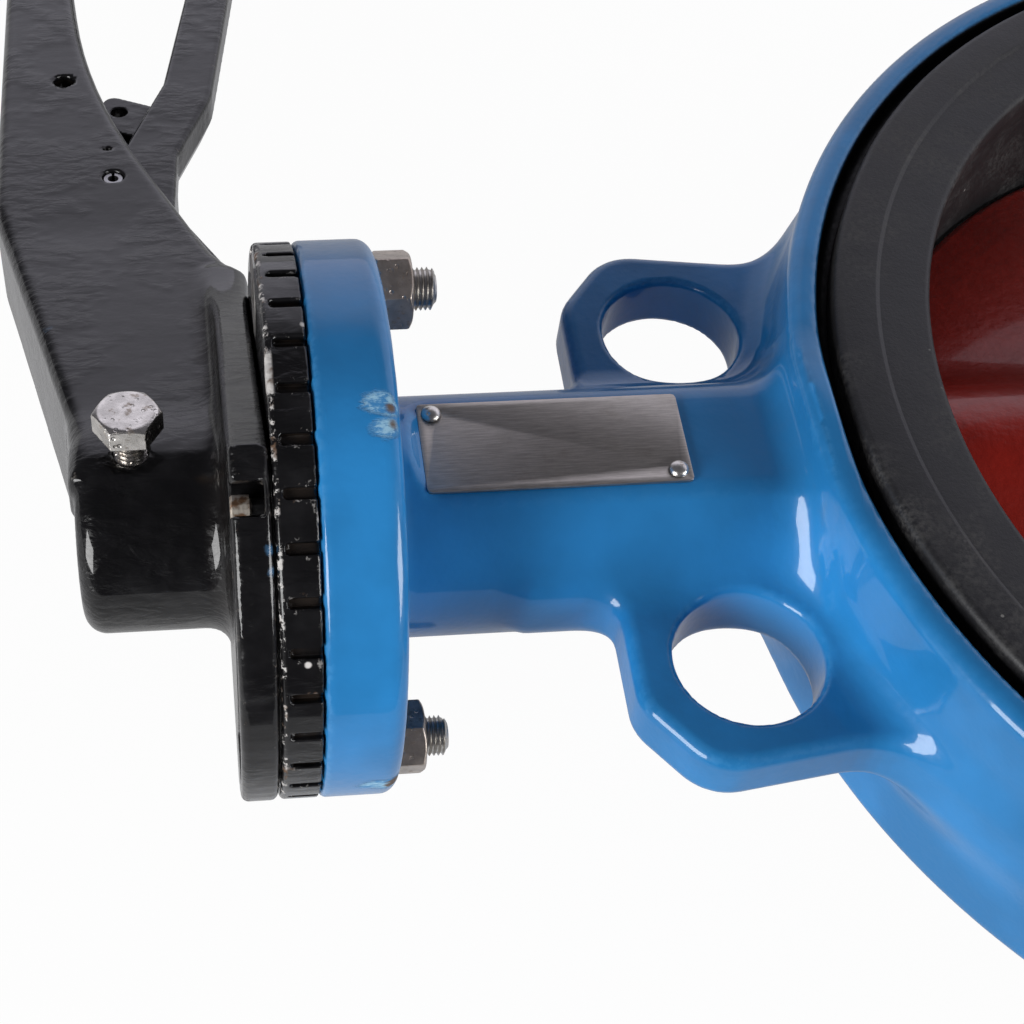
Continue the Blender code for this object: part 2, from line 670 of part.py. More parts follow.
def make_plate_bolts(shop, material):
    left = FLANGE_FACE - GAP - NOTCH_PLATE_THICK
    seat = FLANGE_FACE + FLANGE_THICK + GAP
    for name, angle, turn in zip(("upper", "lower"), BOLT_ANGLES, NUT_TURNS):
        place = polar(BOLT_CIRCLE_R, angle)
        profile = bolt_head(0.0, left, BOLT_END)
        profile[-1:] = [(BOLT_R - 0.001, BOLT_END + 0.001), (0.0, BOLT_END + 0.001)]
        bolt = shop.turned(name + "_plate_bolt", profile, axis="X", steps=24, material=material,
                           centre=place)
        socket = [(y + place[0], z + place[1]) for y, z in hexagon(0.006)]
        cut(bolt, shop.prism(name + "_bolt_socket", socket, left - 0.01, left + 0.0035, plane="YZ"))
        corners = [(y + place[0], z + place[1]) for y, z in hexagon(NUT_FLATS, turn)]
        nut = shop.prism(name + "_plate_nut", corners, seat, seat + NUT_THICK, plane="YZ",
                         material=material)
        chamfer = [(0.0, seat - 0.001), (NUT_FLATS / 2 + 0.0015, seat - 0.001),
                   (NUT_FLATS / 2 + 0.0015, seat + NUT_THICK - 0.0008),
                   (NUT_FLATS / 2, seat + NUT_THICK + 0.0002), (0.0, seat + NUT_THICK + 0.0002)]
        keep_inside(nut, shop.turned(name + "_nut_chamfer", chamfer, axis="X", steps=24, centre=place))
        cut(nut, shop.rod(name + "_nut_bore", BOLT_R + GAP, seat - 0.01, seat + 0.02, "X", place,
                          sides=24))


def make_stop_pin(shop, material):
    low = LEVER_FACE - BASE_THICK + 0.0002
    high = FLANGE_FACE - GAP - 0.0018
    profile = [(0.0, low), (STOP_PIN_R - 0.0004, low), (STOP_PIN_R, low + 0.0004)]
    profile += [(STOP_PIN_R, low + STOP_PIN_HEAD), (STOP_PIN_SHANK_R, low + STOP_PIN_HEAD)]
    profile += [(STOP_PIN_SHANK_R, high), (0.0, high)]
    shop.turned("stop_pin", profile, axis="X", steps=16, material=material,
                centre=polar(STOP_PIN_CIRCLE_R, STOP_PIN_ANGLE))


# Hand lever

def lever_base_outline():
    start, end = BASE_SPAN
    return ([(BASE_R + 0.0165, ARM_HALF_BEND + 0.0005)] + arc((0.0, 0.0), BASE_R, start, end, 20)
            + [(BASE_R + 0.0165, -ARM_HALF_BEND - 0.0005)])


def slot_outline():
    start, end = SLOT_SPAN
    narrow = 2 * STOP_PIN_CIRCLE_R - SLOT_INNER_R
    outline = arc((0.0, 0.0), SLOT_INNER_R, SLOT_TIP, end, 14)
    outline += arc((0.0, 0.0), SLOT_OUTER_R, end - 3, start, 14)
    outline += [polar(narrow, start), polar(narrow, SLOT_TIP)]
    return outline


def arm_side_outline():
    """The arm seen across the stem, in X and Y of the lever's frame."""
    return rounded([
        (LEVER_FACE - 0.002, -0.004, 0.0),
        (BOSS_END + 0.0005, -0.004, 0.0),
        (BOSS_END + 0.0005, 0.0080, 0.010),
        (ARM_OUTER, 0.1020, 0.040),
        (ARM_OUTER, ARM_END, 0.006),
        (ARM_GRIP_INNER, ARM_END, 0.006),
        (ARM_GRIP_INNER, 0.2380, 0.200),
        (LEVER_FACE - 0.0377, BASE_R + 0.0962, 0.330),
        (LEVER_FACE - 0.0066, BASE_R + 0.0187, 0.004),
        (LEVER_FACE - 0.002, BASE_R + 0.0150, 0.002),
        (LEVER_FACE - 0.002, BASE_R + 0.0085, 0.0),
    ])


def arm_plan_outline():
    """The arm seen along the stem, in Y and Z of the lever's frame."""
    half = [(-0.006, ARM_HALF_ROOT, 0.0), (0.002, ARM_HALF_ROOT, 0.0), (0.090, ARM_HALF_BEND, 0.08),
            (ARM_END + 0.001, ARM_HALF_END, 0.0085)]
    return rounded(half + [(y, -z, radius) for y, z, radius in reversed(half)])


def channel_outline():
    """Hollow of the arm that holds the trigger, open toward the notch plate."""
    floor = ARM_OUTER + CHANNEL_WALL
    return rounded([
        (LEVER_FACE + 0.01, CHANNEL_START, 0.0),
        (BOSS_END + CHANNEL_WALL + 0.001, CHANNEL_START, 0.006),
        (floor, 0.100, 0.008),
        (floor, CHANNEL_END, 0.012),
        (ARM_GRIP_INNER + 0.004, CHANNEL_END + 0.006, 0.0),
        (LEVER_FACE + 0.01, CHANNEL_END + 0.006, 0.0),
    ])


def make_lever(shop, material, parent):
    outer = LEVER_FACE - BASE_THICK
    lever = shop.prism("hand_lever", arm_side_outline(), -0.04, 0.04, material=material, parent=parent)
    keep_inside(lever, shop.prism("arm_plan", arm_plan_outline(), ARM_OUTER - 0.03, LEVER_FACE + 0.02,
                                  plane="YZ", parent=parent))
    soften = lever.modifiers.new("Edges", "BEVEL")
    soften.width = ARM_EDGE
    soften.segments = 2
    soften.limit_method = "ANGLE"
    soften.angle_limit = math.radians(40)
    soften.use_clamp_overlap = True

    boss = [(0.0, LEVER_FACE - 0.001), (BOSS_R + BASE_FILLET, LEVER_FACE - 0.001)]
    boss += [(BOSS_R + BASE_FILLET * (1 - math.sin(math.radians(turn))),
              outer - BASE_FILLET * (1 - math.cos(math.radians(turn)))) for turn in (0, 30, 60, 90)]
    boss += [(r, x) for x, r in arc((BOSS_END + BOSS_ROUND, BOSS_R - BOSS_ROUND), BOSS_ROUND, 90, 180, 4)]
    boss += [(0.0, BOSS_END)]
    join(lever, shop.prism("lever_base", lever_base_outline(), outer, LEVER_FACE, plane="YZ",
                           edge=0.001, parent=parent),
         shop.turned("lever_boss", boss, axis="X", steps=48, parent=parent))

    half_square = SQUARE / 2 + GAP
    start, end = WINDOW_SPAN
    window = arc((0.0, 0.0), SLOT_OUTER_R - 0.001, start, end, 2)
    window += arc((0.0, 0.0), BASE_R + 0.004, end, start, 2)
    cross_holes = [
        shop.rod("lever_eye", EYE_R, -0.03, 0.03, "Z", (EYE_X, EYE_Y), parent=parent),
        shop.rod("pivot_hole", PIVOT_PIN_R + GAP, -0.03, 0.03, "Z", (PIVOT_X, PIVOT_Y), parent=parent),
        shop.rod("clamp_hole", CLAMP_R + GAP, 0.0, 0.03, "Z", (CLAMP_X, 0.0), parent=parent),
    ]
    cut(lever, shop.prism("trigger_channel", channel_outline(), -CHANNEL_HALF, CHANNEL_HALF,
                          parent=parent),
        shop.box("square_bore", (ARM_OUTER - 0.02, -half_square, -half_square),
                 (LEVER_FACE + 0.02, half_square, half_square), parent=parent),
        shop.prism("stop_slot", slot_outline(), outer - 0.01, LEVER_FACE + 0.01, plane="YZ",
                   parent=parent),
        shop.prism("pin_window", window, outer - 0.01, LEVER_FACE - 0.0013, plane="YZ", parent=parent),
        merged(shop, "lever_cross_holes", cross_holes))
    return lever


def make_clamp_bolt(shop, material, parent):
    tip = SQUARE / 2 + GAP
    seat = tip + CLAMP_LENGTH
    corners = [(CLAMP_X + x, y) for x, y in hexagon(CLAMP_FLATS)]
    bolt = shop.prism("clamp_bolt", corners, seat, seat + CLAMP_HEAD, material=material, parent=parent)
    rim = CLAMP_FLATS / 2
    crown = [(0.0, seat - 0.001), (rim + 0.0012, seat - 0.001),
             (rim + 0.0012, seat + CLAMP_HEAD - 0.0008), (rim - 0.0002, seat + CLAMP_HEAD),
             (0.0, seat + CLAMP_HEAD)]
    keep_inside(bolt, shop.turned("clamp_crown", crown, steps=24, parent=parent, centre=(CLAMP_X, 0.0)))
    shank = [(0.0, tip), (CLAMP_R - 0.0008, tip), (CLAMP_R, tip + 0.0008), (CLAMP_R, seat + 0.001),
             (0.0, seat + 0.001)]
    join(bolt, shop.turned("clamp_shank", shank, steps=20, parent=parent, centre=(CLAMP_X, 0.0)))


# Trigger lever

def trigger_outline():
    tip = NOTCH_PLATE_R + TOOTH_CLEAR
    clear = tip + TOOTH_HEIGHT
    boss = arc((PIVOT_X, PIVOT_Y), TRIGGER_BOSS_R, 105, 235, 6)
    outline = rounded([
        (TOOTH_LEFT, tip, 0.0),
        (TOOTH_RIGHT, tip, 0.0),
        (TOOTH_RIGHT, clear, 0.0),
        (TOOTH_RIGHT + 0.002, clear + 0.003, 0.001),
        (PIVOT_X + 0.0308, PIVOT_Y - 0.0257, 0.006),
        (PIVOT_X + 0.0168, PIVOT_Y - 0.0077, 0.010),
        (PIVOT_X + 0.0168, PIVOT_Y + 0.0153, 0.005),
        (PIVOT_X + 0.0273, PIVOT_Y + 0.0503, 0.050),
        (TRIGGER_GRIP_OUTER, PIVOT_Y + 0.1543, 0.060),
        (TRIGGER_GRIP_OUTER, TRIGGER_END, 0.005),
        (TRIGGER_GRIP_INNER, TRIGGER_END, 0.005),
        (TRIGGER_GRIP_INNER, PIVOT_Y + 0.1513, 0.060),
        (PIVOT_X + 0.0146, PIVOT_Y + 0.0553, 0.012),
        (PIVOT_X + 0.0008, PIVOT_Y + 0.0203, 0.010),
    ])
    outline += [(x, y) for x, y in boss]
    outline += rounded([
        (PIVOT_X, PIVOT_Y, 0.0),
        (PIVOT_X + 0.0113, PIVOT_Y - 0.0242, 0.010),
        (PIVOT_X + 0.0273, PIVOT_Y - 0.0417, 0.003),
        (TOOTH_LEFT - 0.0015, clear, 0.0),
        (TOOTH_LEFT, clear, 0.0),
        (TOOTH_LEFT, tip, 0.0),
    ])[1:-1]
    return outline


def tab_outline():
    return rounded([
        (PIVOT_X + 0.0138, PIVOT_Y + 0.0503, 0.0),
        (PIVOT_X + 0.0106, PIVOT_Y + 0.0547, 0.001),
        (PIVOT_X - 0.0007, PIVOT_Y + 0.0603, 0.003),
        (PIVOT_X - 0.0044, PIVOT_Y + 0.0538, 0.004),
        (PIVOT_X + 0.0008, PIVOT_Y + 0.0438, 0.005),
        (PIVOT_X + 0.0058, PIVOT_Y + 0.0423, 0.004),
        (PIVOT_X + 0.0083, PIVOT_Y + 0.0353, 0.0),
        (PIVOT_X + 0.0158, PIVOT_Y + 0.0353, 0.0),
    ])


def make_trigger(shop, material, parent):
    trigger = shop.prism("trigger_lever", trigger_outline(), -TRIGGER_HALF, TRIGGER_HALF, edge=0.0008,
                         material=material, parent=parent)
    join(trigger, shop.prism("locking_tab", tab_outline(), -TAB_HALF, TAB_HALF, parent=parent))
    reach = NOTCH_PLATE_R + TOOTH_CLEAR + TOOTH_HEIGHT
    sides = [shop.box("tooth_side", (PIVOT_X, 0.0, low), (LEVER_FACE + 0.02, reach, high), parent=parent)
             for low, high in ((TOOTH_HALF, 0.02), (-0.02, -TOOTH_HALF))]
    holes = [shop.rod("trigger_pivot_hole", PIVOT_PIN_R + GAP, -0.02, 0.02, "Z", (PIVOT_X, PIVOT_Y),
                      parent=parent),
             shop.rod("tab_hole", TAB_HOLE_R, -0.02, 0.02, "Z", (TAB_HOLE_X, TAB_HOLE_Y), sides=16,
                      parent=parent)]
    tools = [merged(shop, "tooth_sides", sides), merged(shop, "trigger_holes", holes)]
    cut(trigger, *tools)
    move_origin(trigger, PIVOT_X, PIVOT_Y, 0.0)


def make_pivot_pin(shop, material, parent):
    half = ARM_HALF_BEND - 0.0010
    outline = arc((PIVOT_X, PIVOT_Y), PIVOT_PIN_R, 100, 440, 18)
    outline += arc((PIVOT_X, PIVOT_Y), PIVOT_PIN_R - PIVOT_PIN_WALL, 435, 105, 18)
    shop.prism("pivot_pin", outline, -half, half, material=material, parent=parent)


def make_spring(shop, material, parent):
    """A compression spring along X, its ends on the channel's floor and on the trigger."""
    start = ARM_OUTER + CHANNEL_WALL + GAP + SPRING_WIRE_R
    end = PIVOT_X + 0.0008 - GAP - SPRING_WIRE_R
    curve = bpy.data.curves.new("trigger_spring", "CURVE")
    curve.dimensions = "3D"
    curve.bevel_depth = SPRING_WIRE_R
    curve.bevel_resolution = 1
    curve.use_fill_caps = True
    spline = curve.splines.new("POLY")
    per_turn = 10
    count = SPRING_TURNS * per_turn
    spline.points.add(count)
    for step, point in enumerate(spline.points):
        share = step / count
        closed = 1.0 / SPRING_TURNS
        rise = min(max((share - closed) / (1 - 2 * closed), 0.0), 1.0)
        tight = 2 * SPRING_WIRE_R * 1.1
        lead = tight * (min(share / closed, 1.0) + max((share - 1 + closed) / closed, 0.0))
        x = start + lead + (end - start - 2 * tight) * rise
        y, z = polar(SPRING_R, 360 * step / per_turn)
        point.co = (x, SPRING_Y + y, z, 1.0)
    shape = shop.evaluated(bpy.data.objects.new("trigger_spring", curve))
    shop.from_bmesh("trigger_spring", shape, material, parent)


def main():
    for item in list(bpy.data.objects):
        bpy.data.objects.remove(item)
    shop = Workshop(make_collection("butterfly_valve"), make_collection("valve_cutters"))
    blue_paint = make_material("blue_paint", (0.020, 0.150, 0.390), 0.25, 0.0)
    black_paint = make_material("black_paint", (0.012, 0.012, 0.014), 0.30, 0.0)
    red_coating = make_material("red_coating", (0.420, 0.045, 0.020), 0.35, 0.0)
    rubber = make_material("rubber", (0.020, 0.021, 0.023), 0.65, 0.0)
    stainless = make_material("stainless", (0.560, 0.540, 0.510), 0.25, 1.0)
    bare_steel = make_material("bare_steel", (0.350, 0.310, 0.270), 0.50, 1.0)
    bronze = make_material("bronze", (0.450, 0.260, 0.110), 0.40, 1.0)
    black_rubber = make_material("seal_rubber", (0.015, 0.015, 0.015), 0.70, 0.0)
    spring_steel = make_material("spring_steel", (0.420, 0.420, 0.430), 0.35, 1.0)

    stem_turn = bpy.data.objects.new("stem_turn", None)
    stem_turn.rotation_euler = (math.radians(-REST_OPENING), 0.0, 0.0)
    shop.parts.objects.link(stem_turn)

    make_body(shop, blue_paint)
    make_liner(shop, rubber)
    make_bushes(shop, bronze)
    make_seals(shop, black_rubber)
    make_circlip(shop, spring_steel)
    make_plug(shop, stainless)
    make_nameplate(shop, stainless, stainless)
    make_notch_plate(shop, black_paint)
    make_plate_bolts(shop, stainless)
    make_stop_pin(shop, bare_steel)

    make_disc(shop, red_coating, stem_turn)
    make_stem(shop, stainless, stem_turn)
    make_stub(shop, stainless, stem_turn)
    make_taper_pins(shop, stainless, stem_turn)
    make_lever(shop, black_paint, stem_turn)
    make_clamp_bolt(shop, stainless, stem_turn)
    make_trigger(shop, black_paint, stem_turn)
    make_pivot_pin(shop, spring_steel, stem_turn)
    make_spring(shop, spring_steel, stem_turn)


main()
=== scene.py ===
"""Wafer butterfly valve with a notched hand lever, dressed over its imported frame.

Metres; +Z along the pipe, the stem along X with the lever at -X. The castings are skins drawn from
distance fields: a field gives how far a point lies outside a form, negative inside it.
"""

import math

import bmesh
import bpy
import numpy as np
from bpy.props import FloatProperty, FloatVectorProperty, PointerProperty
from mathutils import Matrix, Vector


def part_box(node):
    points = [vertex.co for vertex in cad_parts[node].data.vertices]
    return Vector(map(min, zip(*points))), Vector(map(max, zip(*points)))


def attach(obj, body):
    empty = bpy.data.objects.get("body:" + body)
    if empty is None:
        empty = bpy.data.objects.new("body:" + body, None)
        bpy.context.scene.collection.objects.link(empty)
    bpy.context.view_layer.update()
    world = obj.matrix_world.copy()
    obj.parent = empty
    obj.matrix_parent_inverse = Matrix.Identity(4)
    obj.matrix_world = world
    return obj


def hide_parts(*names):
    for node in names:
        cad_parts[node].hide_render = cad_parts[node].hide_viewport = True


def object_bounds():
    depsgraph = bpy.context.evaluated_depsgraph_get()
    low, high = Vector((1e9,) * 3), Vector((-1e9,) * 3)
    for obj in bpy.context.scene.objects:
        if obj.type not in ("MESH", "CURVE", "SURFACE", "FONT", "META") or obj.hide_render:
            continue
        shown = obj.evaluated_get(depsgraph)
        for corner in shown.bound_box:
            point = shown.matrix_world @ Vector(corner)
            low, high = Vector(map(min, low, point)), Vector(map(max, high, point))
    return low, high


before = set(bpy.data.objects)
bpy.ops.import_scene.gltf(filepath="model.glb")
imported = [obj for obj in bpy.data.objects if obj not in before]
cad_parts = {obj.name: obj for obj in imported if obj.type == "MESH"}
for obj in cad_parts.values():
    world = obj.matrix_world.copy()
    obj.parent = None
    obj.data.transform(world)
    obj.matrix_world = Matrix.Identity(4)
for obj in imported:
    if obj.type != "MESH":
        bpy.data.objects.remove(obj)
CAD_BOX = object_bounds()

bl_info = {
    "name": "Butterfly valve",
    "version": (1, 0, 0),
    "blender": (4, 5, 0),
    "location": "3D View > Sidebar > Valve",
    "description": "Castings, finishes, fasteners and stage of a lever-operated butterfly valve",
    "category": "Object",
}

GAP = 0.0003                   # clearance between pieces that touch
OPENING = math.radians(8.3)    # how far the disc and lever stand open
ROOT_3 = math.sqrt(3)

# Ring, neck, flange and foot of the body
RING_R, RING_HALF, RING_ROUND, RING_BORE_R = 0.154, 0.0325, 0.0035, 0.1392
LIP_SEAT_R, LIP_SEAT_DEPTH = 0.1474, 0.0062
NECK_R, NECK_FLARE_R, NECK_FLARE_START, NECK_FLARE_END = 0.027, 0.0315, -0.163, -0.152
FLANGE_FACE, FLANGE_THICK, FLANGE_R, FLANGE_ROUND = -0.2617, 0.0169, 0.0615, 0.0035
BOLT_CIRCLE_R, BOLT_HOLE_R, BOLT_HOLE_END = 0.051, 0.0055, -0.2
COUNTERBORE_R, COUNTERBORE_DEPTH = 0.020, 0.006
FOOT_R, FOOT_END = 0.024, 0.170
LUG_HOLE_X, LUG_HOLE_Y, LUG_HOLE_R = 0.1703, 0.0462, 0.0163
LUG_APOTHEM, LUG_HALF = 0.0254, 0.007
LUG_SIDE, LUG_CORNER = 0.0270, 0.42 * LUG_APOTHEM
FLAT_Z, FLAT_START, FLAT_END = 0.0233, -0.2400, -0.1540
LUG_FILLET, FLANGE_FILLET, NECK_FILLET, FLAT_FILLET = 0.010, 0.0055, 0.009, 0.007
LIP_SEAT_FILLET, SEAT_EDGE, HOLE_EDGE, BORE_EDGE = 0.0022, 0.0018, 0.0016, 0.0006

# Liner, disc and stem; the disc is widest at its centre and its hub is waisted near the rim
LINER_HALF, LINER_BORE_R = 0.034, 0.125
LIP_R, LIP_BEAD_R, LIP_STEP, LIP_BORE_R = 0.1442, 0.135, 0.0007, 0.1224
DISC_R, DISC_RIM_HALF, DISC_CENTRE_HALF = 0.1245, 0.0055, 0.0125
HUB_R, HUB_WAIST_R = 0.024, 0.0225
SHAFT_R, SHAFT_START, BUSH_R, SQUARE = 0.014, 0.0285, 0.0162, 0.020
PIN_HOLES, PIN_HOLE_R, HUB_FILLET = (-0.042, -0.074, 0.058), 0.0043, 0.014

# Notch plate, its bolts and the stop pin
NOTCH_PLATE_THICK, NOTCH_PLATE_R, NOTCH_COUNT, NOTCH_OFFSET = 0.0084, 0.0614, 36, math.radians(1.7)
NOTCH_WIDTH, NOTCH_DEPTH, NOTCH_WALL = 0.0022, 0.0018, 0.0018
BOLT_R, BOLT_HEAD_R, BOLT_END, THREAD_R = 0.0050, 0.0092, -0.2304, 0.0047
BOLT_THREAD, BOLT_SLACK, SOCKET_FLATS, SOCKET_DEPTH = -0.2465, 0.0005, 0.006, 0.0035
THREAD_DEPTH, BOLT_PLACE = 0.54, BOLT_CIRCLE_R / math.sqrt(2)
BOLT_FIRST, BOLT_ON = [BOLT_PLACE - BOLT_SLACK] * 2, [BOLT_SLACK - 2 * BOLT_PLACE] * 2
NUT_SEAT, NUT_FLATS, NUT_THICK, NUT_TURNS = -0.2445, 0.0155, 0.0086, (27.0, 47.5)
STOP_PIN_SEAT_R, STOP_PIN_ANGLE = 0.0021, 123.0

# Hand lever, in the stem's own frame with +Y the way the lever points
LEVER_FACE, BASE_THICK, BASE_R, BASE_SPAN = -0.2708, 0.0080, 0.0615, (121.0, 239.0)
STOP_CIRCLE_R, SLOT_INNER_R, SLOT_OUTER_R, SLOT_SPAN, SLOT_TIP = 0.0495, 0.0465, 0.0570, (126, 217), 117.5
WINDOW_SPAN = (127.3, 133.6)
BOSS_R, BOSS_END, BOSS_ROUND, LEVER_FILLET = 0.0225, -0.3110, 0.005, 0.006
ARM_OUTER, ARM_END, ARM_GRIP_INNER = -0.3318, 0.352, -0.3148
ARM_HALF_ROOT, ARM_HALF_BEND, ARM_HALF_END = 0.0222, 0.0152, 0.0136
CHANNEL_HALF, CHANNEL_WALL, CHANNEL_START, CHANNEL_END = 0.0084, 0.0065, 0.036, 0.206
EYE_X, EYE_Y, EYE_R = -0.3147, 0.1594, 0.0027
CLAMP_X, CLAMP_R, CLAMP_FLATS, CLAMP_HEAD, CLAMP_LENGTH = -0.2985, 0.0036, 0.013, 0.0053, 0.0194
PIVOT_X, PIVOT_Y, PIVOT_PIN_R = -0.3018, 0.1137, 0.0024
SAND_HOLE, SAND_HOLE_R = (-0.3032, 0.1262, 0.0148), 0.0012

# Nameplate rivets
RIVET_PLACE, RIVET_STEP, RIVET_SEAT = (-0.23355, 0.0091), (0.0515, -0.0182), 0.0245
RIVET_R, RIVET_HEAD_R, RIVET_HEAD_HEIGHT, RIVET_DEPTH = 0.0010, 0.0022, 0.0014, 0.0050

# Trigger
TRIGGER_HALF, TRIGGER_BOSS_R, TRIGGER_END = 0.0080, 0.0080, 0.322
GRIP_INNER, GRIP_OUTER = -0.2715, -0.2600
TOOTH_LEFT, TOOTH_RIGHT, TOOTH_HALF = -0.2660, -0.2640, 0.0009
TOOTH_TIP, TOOTH_TOP = 0.06175, 0.06365
TAB_HALF, TAB_HOLE_X, TAB_HOLE_Y, TAB_HOLE_R = 0.0025, -0.3007, 0.1627, 0.0022
TRIGGER_DRAFT, TRIGGER_DRAFT_START = 0.45, 0.012

# Chips in the body's paint: place, radius and the share of it that is bare metal
CHIPS = (((-0.2486, -0.0166, 0.0592), 0.0024, 0.0), ((-0.2466, -0.0176, 0.0589), 0.0020, 0.5),
         ((-0.2478, -0.0216, 0.0576), 0.0020, 0.0), ((-0.2463, -0.0208, 0.0578), 0.0012, 0.9),
         ((-0.2492, -0.0597, -0.0149), 0.0030, 0.0), ((-0.2457, -0.0595, -0.0156), 0.0036, 0.8))
SPOT_BORDER = 0.0006

# Specks of the body's blue on the lever's paint
OVERSPRAY = (((-0.3167, 0.0509, 0.0098), 0.0011), ((-0.3143, 0.0429, 0.0109), 0.0011),
             ((-0.2712, -0.0408, 0.0461), 0.0010), ((-0.2712, -0.0439, 0.0431), 0.0008))

# Camera
LENS, SENSOR, SHIFT = 64.893, 36.0, (0.1416, 0.1465)
CAMERA_PLACE = (-0.28497, -0.24899, 0.33085)
CAMERA_RIGHT, CAMERA_UP = (0.99471, -0.09300, 0.04358), (0.05476, 0.83924, 0.54099)

# Stage: the floor ends in front of the lever, and the lamps stand round the valve's middle
FLOOR_SIDE, FLOOR_EDGE, FLOOR_DROP = 3.0, -0.19, 0.001
LAMP_MIDDLE, LAMP_FAR = Vector((-0.1, 0.0, 0.0)), 2.0
# Lamps: name, compass turn from +Y, rise, size and power
LAMPS = (("lamp_right", 122, 14, (1.00, 1.00), 33.0), ("lamp_left", -124, 13, (1.10, 1.00), 43.0))


# Outlines

def polar(radius, degrees):
    return radius * math.cos(math.radians(degrees)), radius * math.sin(math.radians(degrees))


def arc(centre, radius, start, end, count):
    """Points along an arc in degrees, ends included."""
    turns = [start + (end - start) * step / count for step in range(count + 1)]
    return [(centre[0] + u, centre[1] + v) for u, v in (polar(radius, turn) for turn in turns)]


def rounded(corners, steps=8):
    """An outline from (u, v, radius) corners, each radius drawn as an arc."""
    points = []
    for place, (u, v, radius) in enumerate(corners):
        corner = Vector((u, v))
        back = Vector(corners[place - 1][:2]) - corner
        on = Vector(corners[(place + 1) % len(corners)][:2]) - corner
        if radius <= 0:
            points.append((u, v))
            continue
        half = back.angle(on) / 2
        reach = min(radius / math.tan(half), 0.48 * back.length, 0.48 * on.length)
        radius = reach * math.tan(half)
        middle = corner + (back.normalized() + on.normalized()).normalized() * radius / math.sin(half)
        first = corner + back.normalized() * reach - middle
        last = corner + on.normalized() * reach - middle
        sweep = -first.angle_signed(last)
        start = math.atan2(first.y, first.x)
        points += [(middle.x + radius * math.cos(start + sweep * step / steps),
                    middle.y + radius * math.sin(start + sweep * step / steps))
                   for step in range(steps + 1)]
    return points


def lug_outline(side):
    """A pair of lugs seen along the pipe; side is -1 at the neck and 1 at the foot."""
    far_x, far_y = LUG_HOLE_X + LUG_APOTHEM, LUG_HOLE_Y + LUG_SIDE
    half = [
        (RING_BORE_R * 0.79, RING_BORE_R * 0.733, 0.0),
        (LUG_HOLE_X - 0.0278, far_y - 0.0055, 0.022),
        (far_x - 1.25 * LUG_CORNER, far_y, 0.013),
        (far_x, far_y - 1.6 * LUG_CORNER, 0.012),
    ]
    if side < 0:
        half += [(far_x, NECK_R - 0.0008, 0.008), (far_x + 0.018, NECK_R - 0.0008, 0.0)]
    else:
        half += [(far_x, LUG_HOLE_Y - 0.0165, 0.006), (FOOT_END - 0.004, FOOT_R - 0.001, 0.0)]
    outline = [(side * x, y, radius) for x, y, radius in half]
    return rounded(outline + [(x, -y, radius) for x, y, radius in reversed(outline)])


NECK_LUGS, FOOT_LUGS = lug_outline(-1), lug_outline(1)

ARM_SIDE = rounded([
    (LEVER_FACE - 0.002, -0.004, 0.0), (BOSS_END + 0.0005, -0.004, 0.0),
    (BOSS_END + 0.0005, 0.0080, 0.010), (ARM_OUTER, 0.1020, 0.040), (ARM_OUTER, ARM_END, 0.006),
    (ARM_GRIP_INNER, ARM_END, 0.006), (ARM_GRIP_INNER, 0.2380, 0.200), (-0.3085, 0.1577, 0.330),
    (-0.2774, 0.0802, 0.008), (LEVER_FACE - 0.0014, 0.0725, 0.003), (LEVER_FACE - 0.0014, 0.060, 0.0),
])
ARM_PLAN = [(-0.006, ARM_HALF_ROOT, 0.0), (0.002, ARM_HALF_ROOT, 0.0), (0.090, ARM_HALF_BEND, 0.08),
            (ARM_END + 0.001, ARM_HALF_END, 0.0085)]
ARM_PLAN = rounded(ARM_PLAN + [(y, -z, radius) for y, z, radius in reversed(ARM_PLAN)])
CHANNEL = rounded([
    (LEVER_FACE + 0.01, CHANNEL_START, 0.0), (BOSS_END + CHANNEL_WALL + 0.001, CHANNEL_START, 0.006),
    (ARM_OUTER + CHANNEL_WALL, 0.100, 0.008), (ARM_OUTER + CHANNEL_WALL, CHANNEL_END, 0.012),
    (ARM_GRIP_INNER + 0.004, CHANNEL_END + 0.006, 0.0), (LEVER_FACE + 0.01, CHANNEL_END + 0.006, 0.0),
])
BASE = ([(0.0695, ARM_HALF_BEND + 0.0005)] + arc((0, 0), BASE_R, *BASE_SPAN, 30)
        + [(0.0695, -ARM_HALF_BEND - 0.0005)])
SLOT_TIP_R = 2 * STOP_CIRCLE_R - SLOT_INNER_R
SLOT = (arc((0, 0), SLOT_INNER_R, SLOT_TIP, SLOT_SPAN[1], 24)
        + arc((0, 0), SLOT_OUTER_R, SLOT_SPAN[1] - 3, SLOT_SPAN[0], 24)
        + [polar(SLOT_TIP_R, SLOT_SPAN[0]), polar(SLOT_TIP_R, SLOT_TIP)])
WINDOW = (arc((0, 0), SLOT_OUTER_R - 0.001, *WINDOW_SPAN, 3)
          + arc((0, 0), BASE_R + 0.004, *reversed(WINDOW_SPAN), 3))
TRIGGER = rounded([
    (TOOTH_LEFT, TOOTH_TIP, 0.0), (TOOTH_RIGHT, TOOTH_TIP, 0.0), (TOOTH_RIGHT, TOOTH_TOP, 0.0),
    (TOOTH_RIGHT + 0.002, TOOTH_TOP + 0.003, 0.001), (-0.2728, 0.0815, 0.006),
    (-0.2866, 0.1090, 0.010), (-0.2850, 0.1339, 0.004), (-0.2749, 0.1613, 0.030),
    (GRIP_OUTER, 0.2680, 0.060), (GRIP_OUTER, TRIGGER_END, 0.005), (GRIP_INNER, TRIGGER_END, 0.005),
    (GRIP_INNER - 0.0006, 0.2650, 0.060), (-0.2880, 0.1685, 0.010), (-0.3004, 0.1344, 0.010),
])
TRIGGER += arc((PIVOT_X, PIVOT_Y), TRIGGER_BOSS_R, 105, 235, 16)
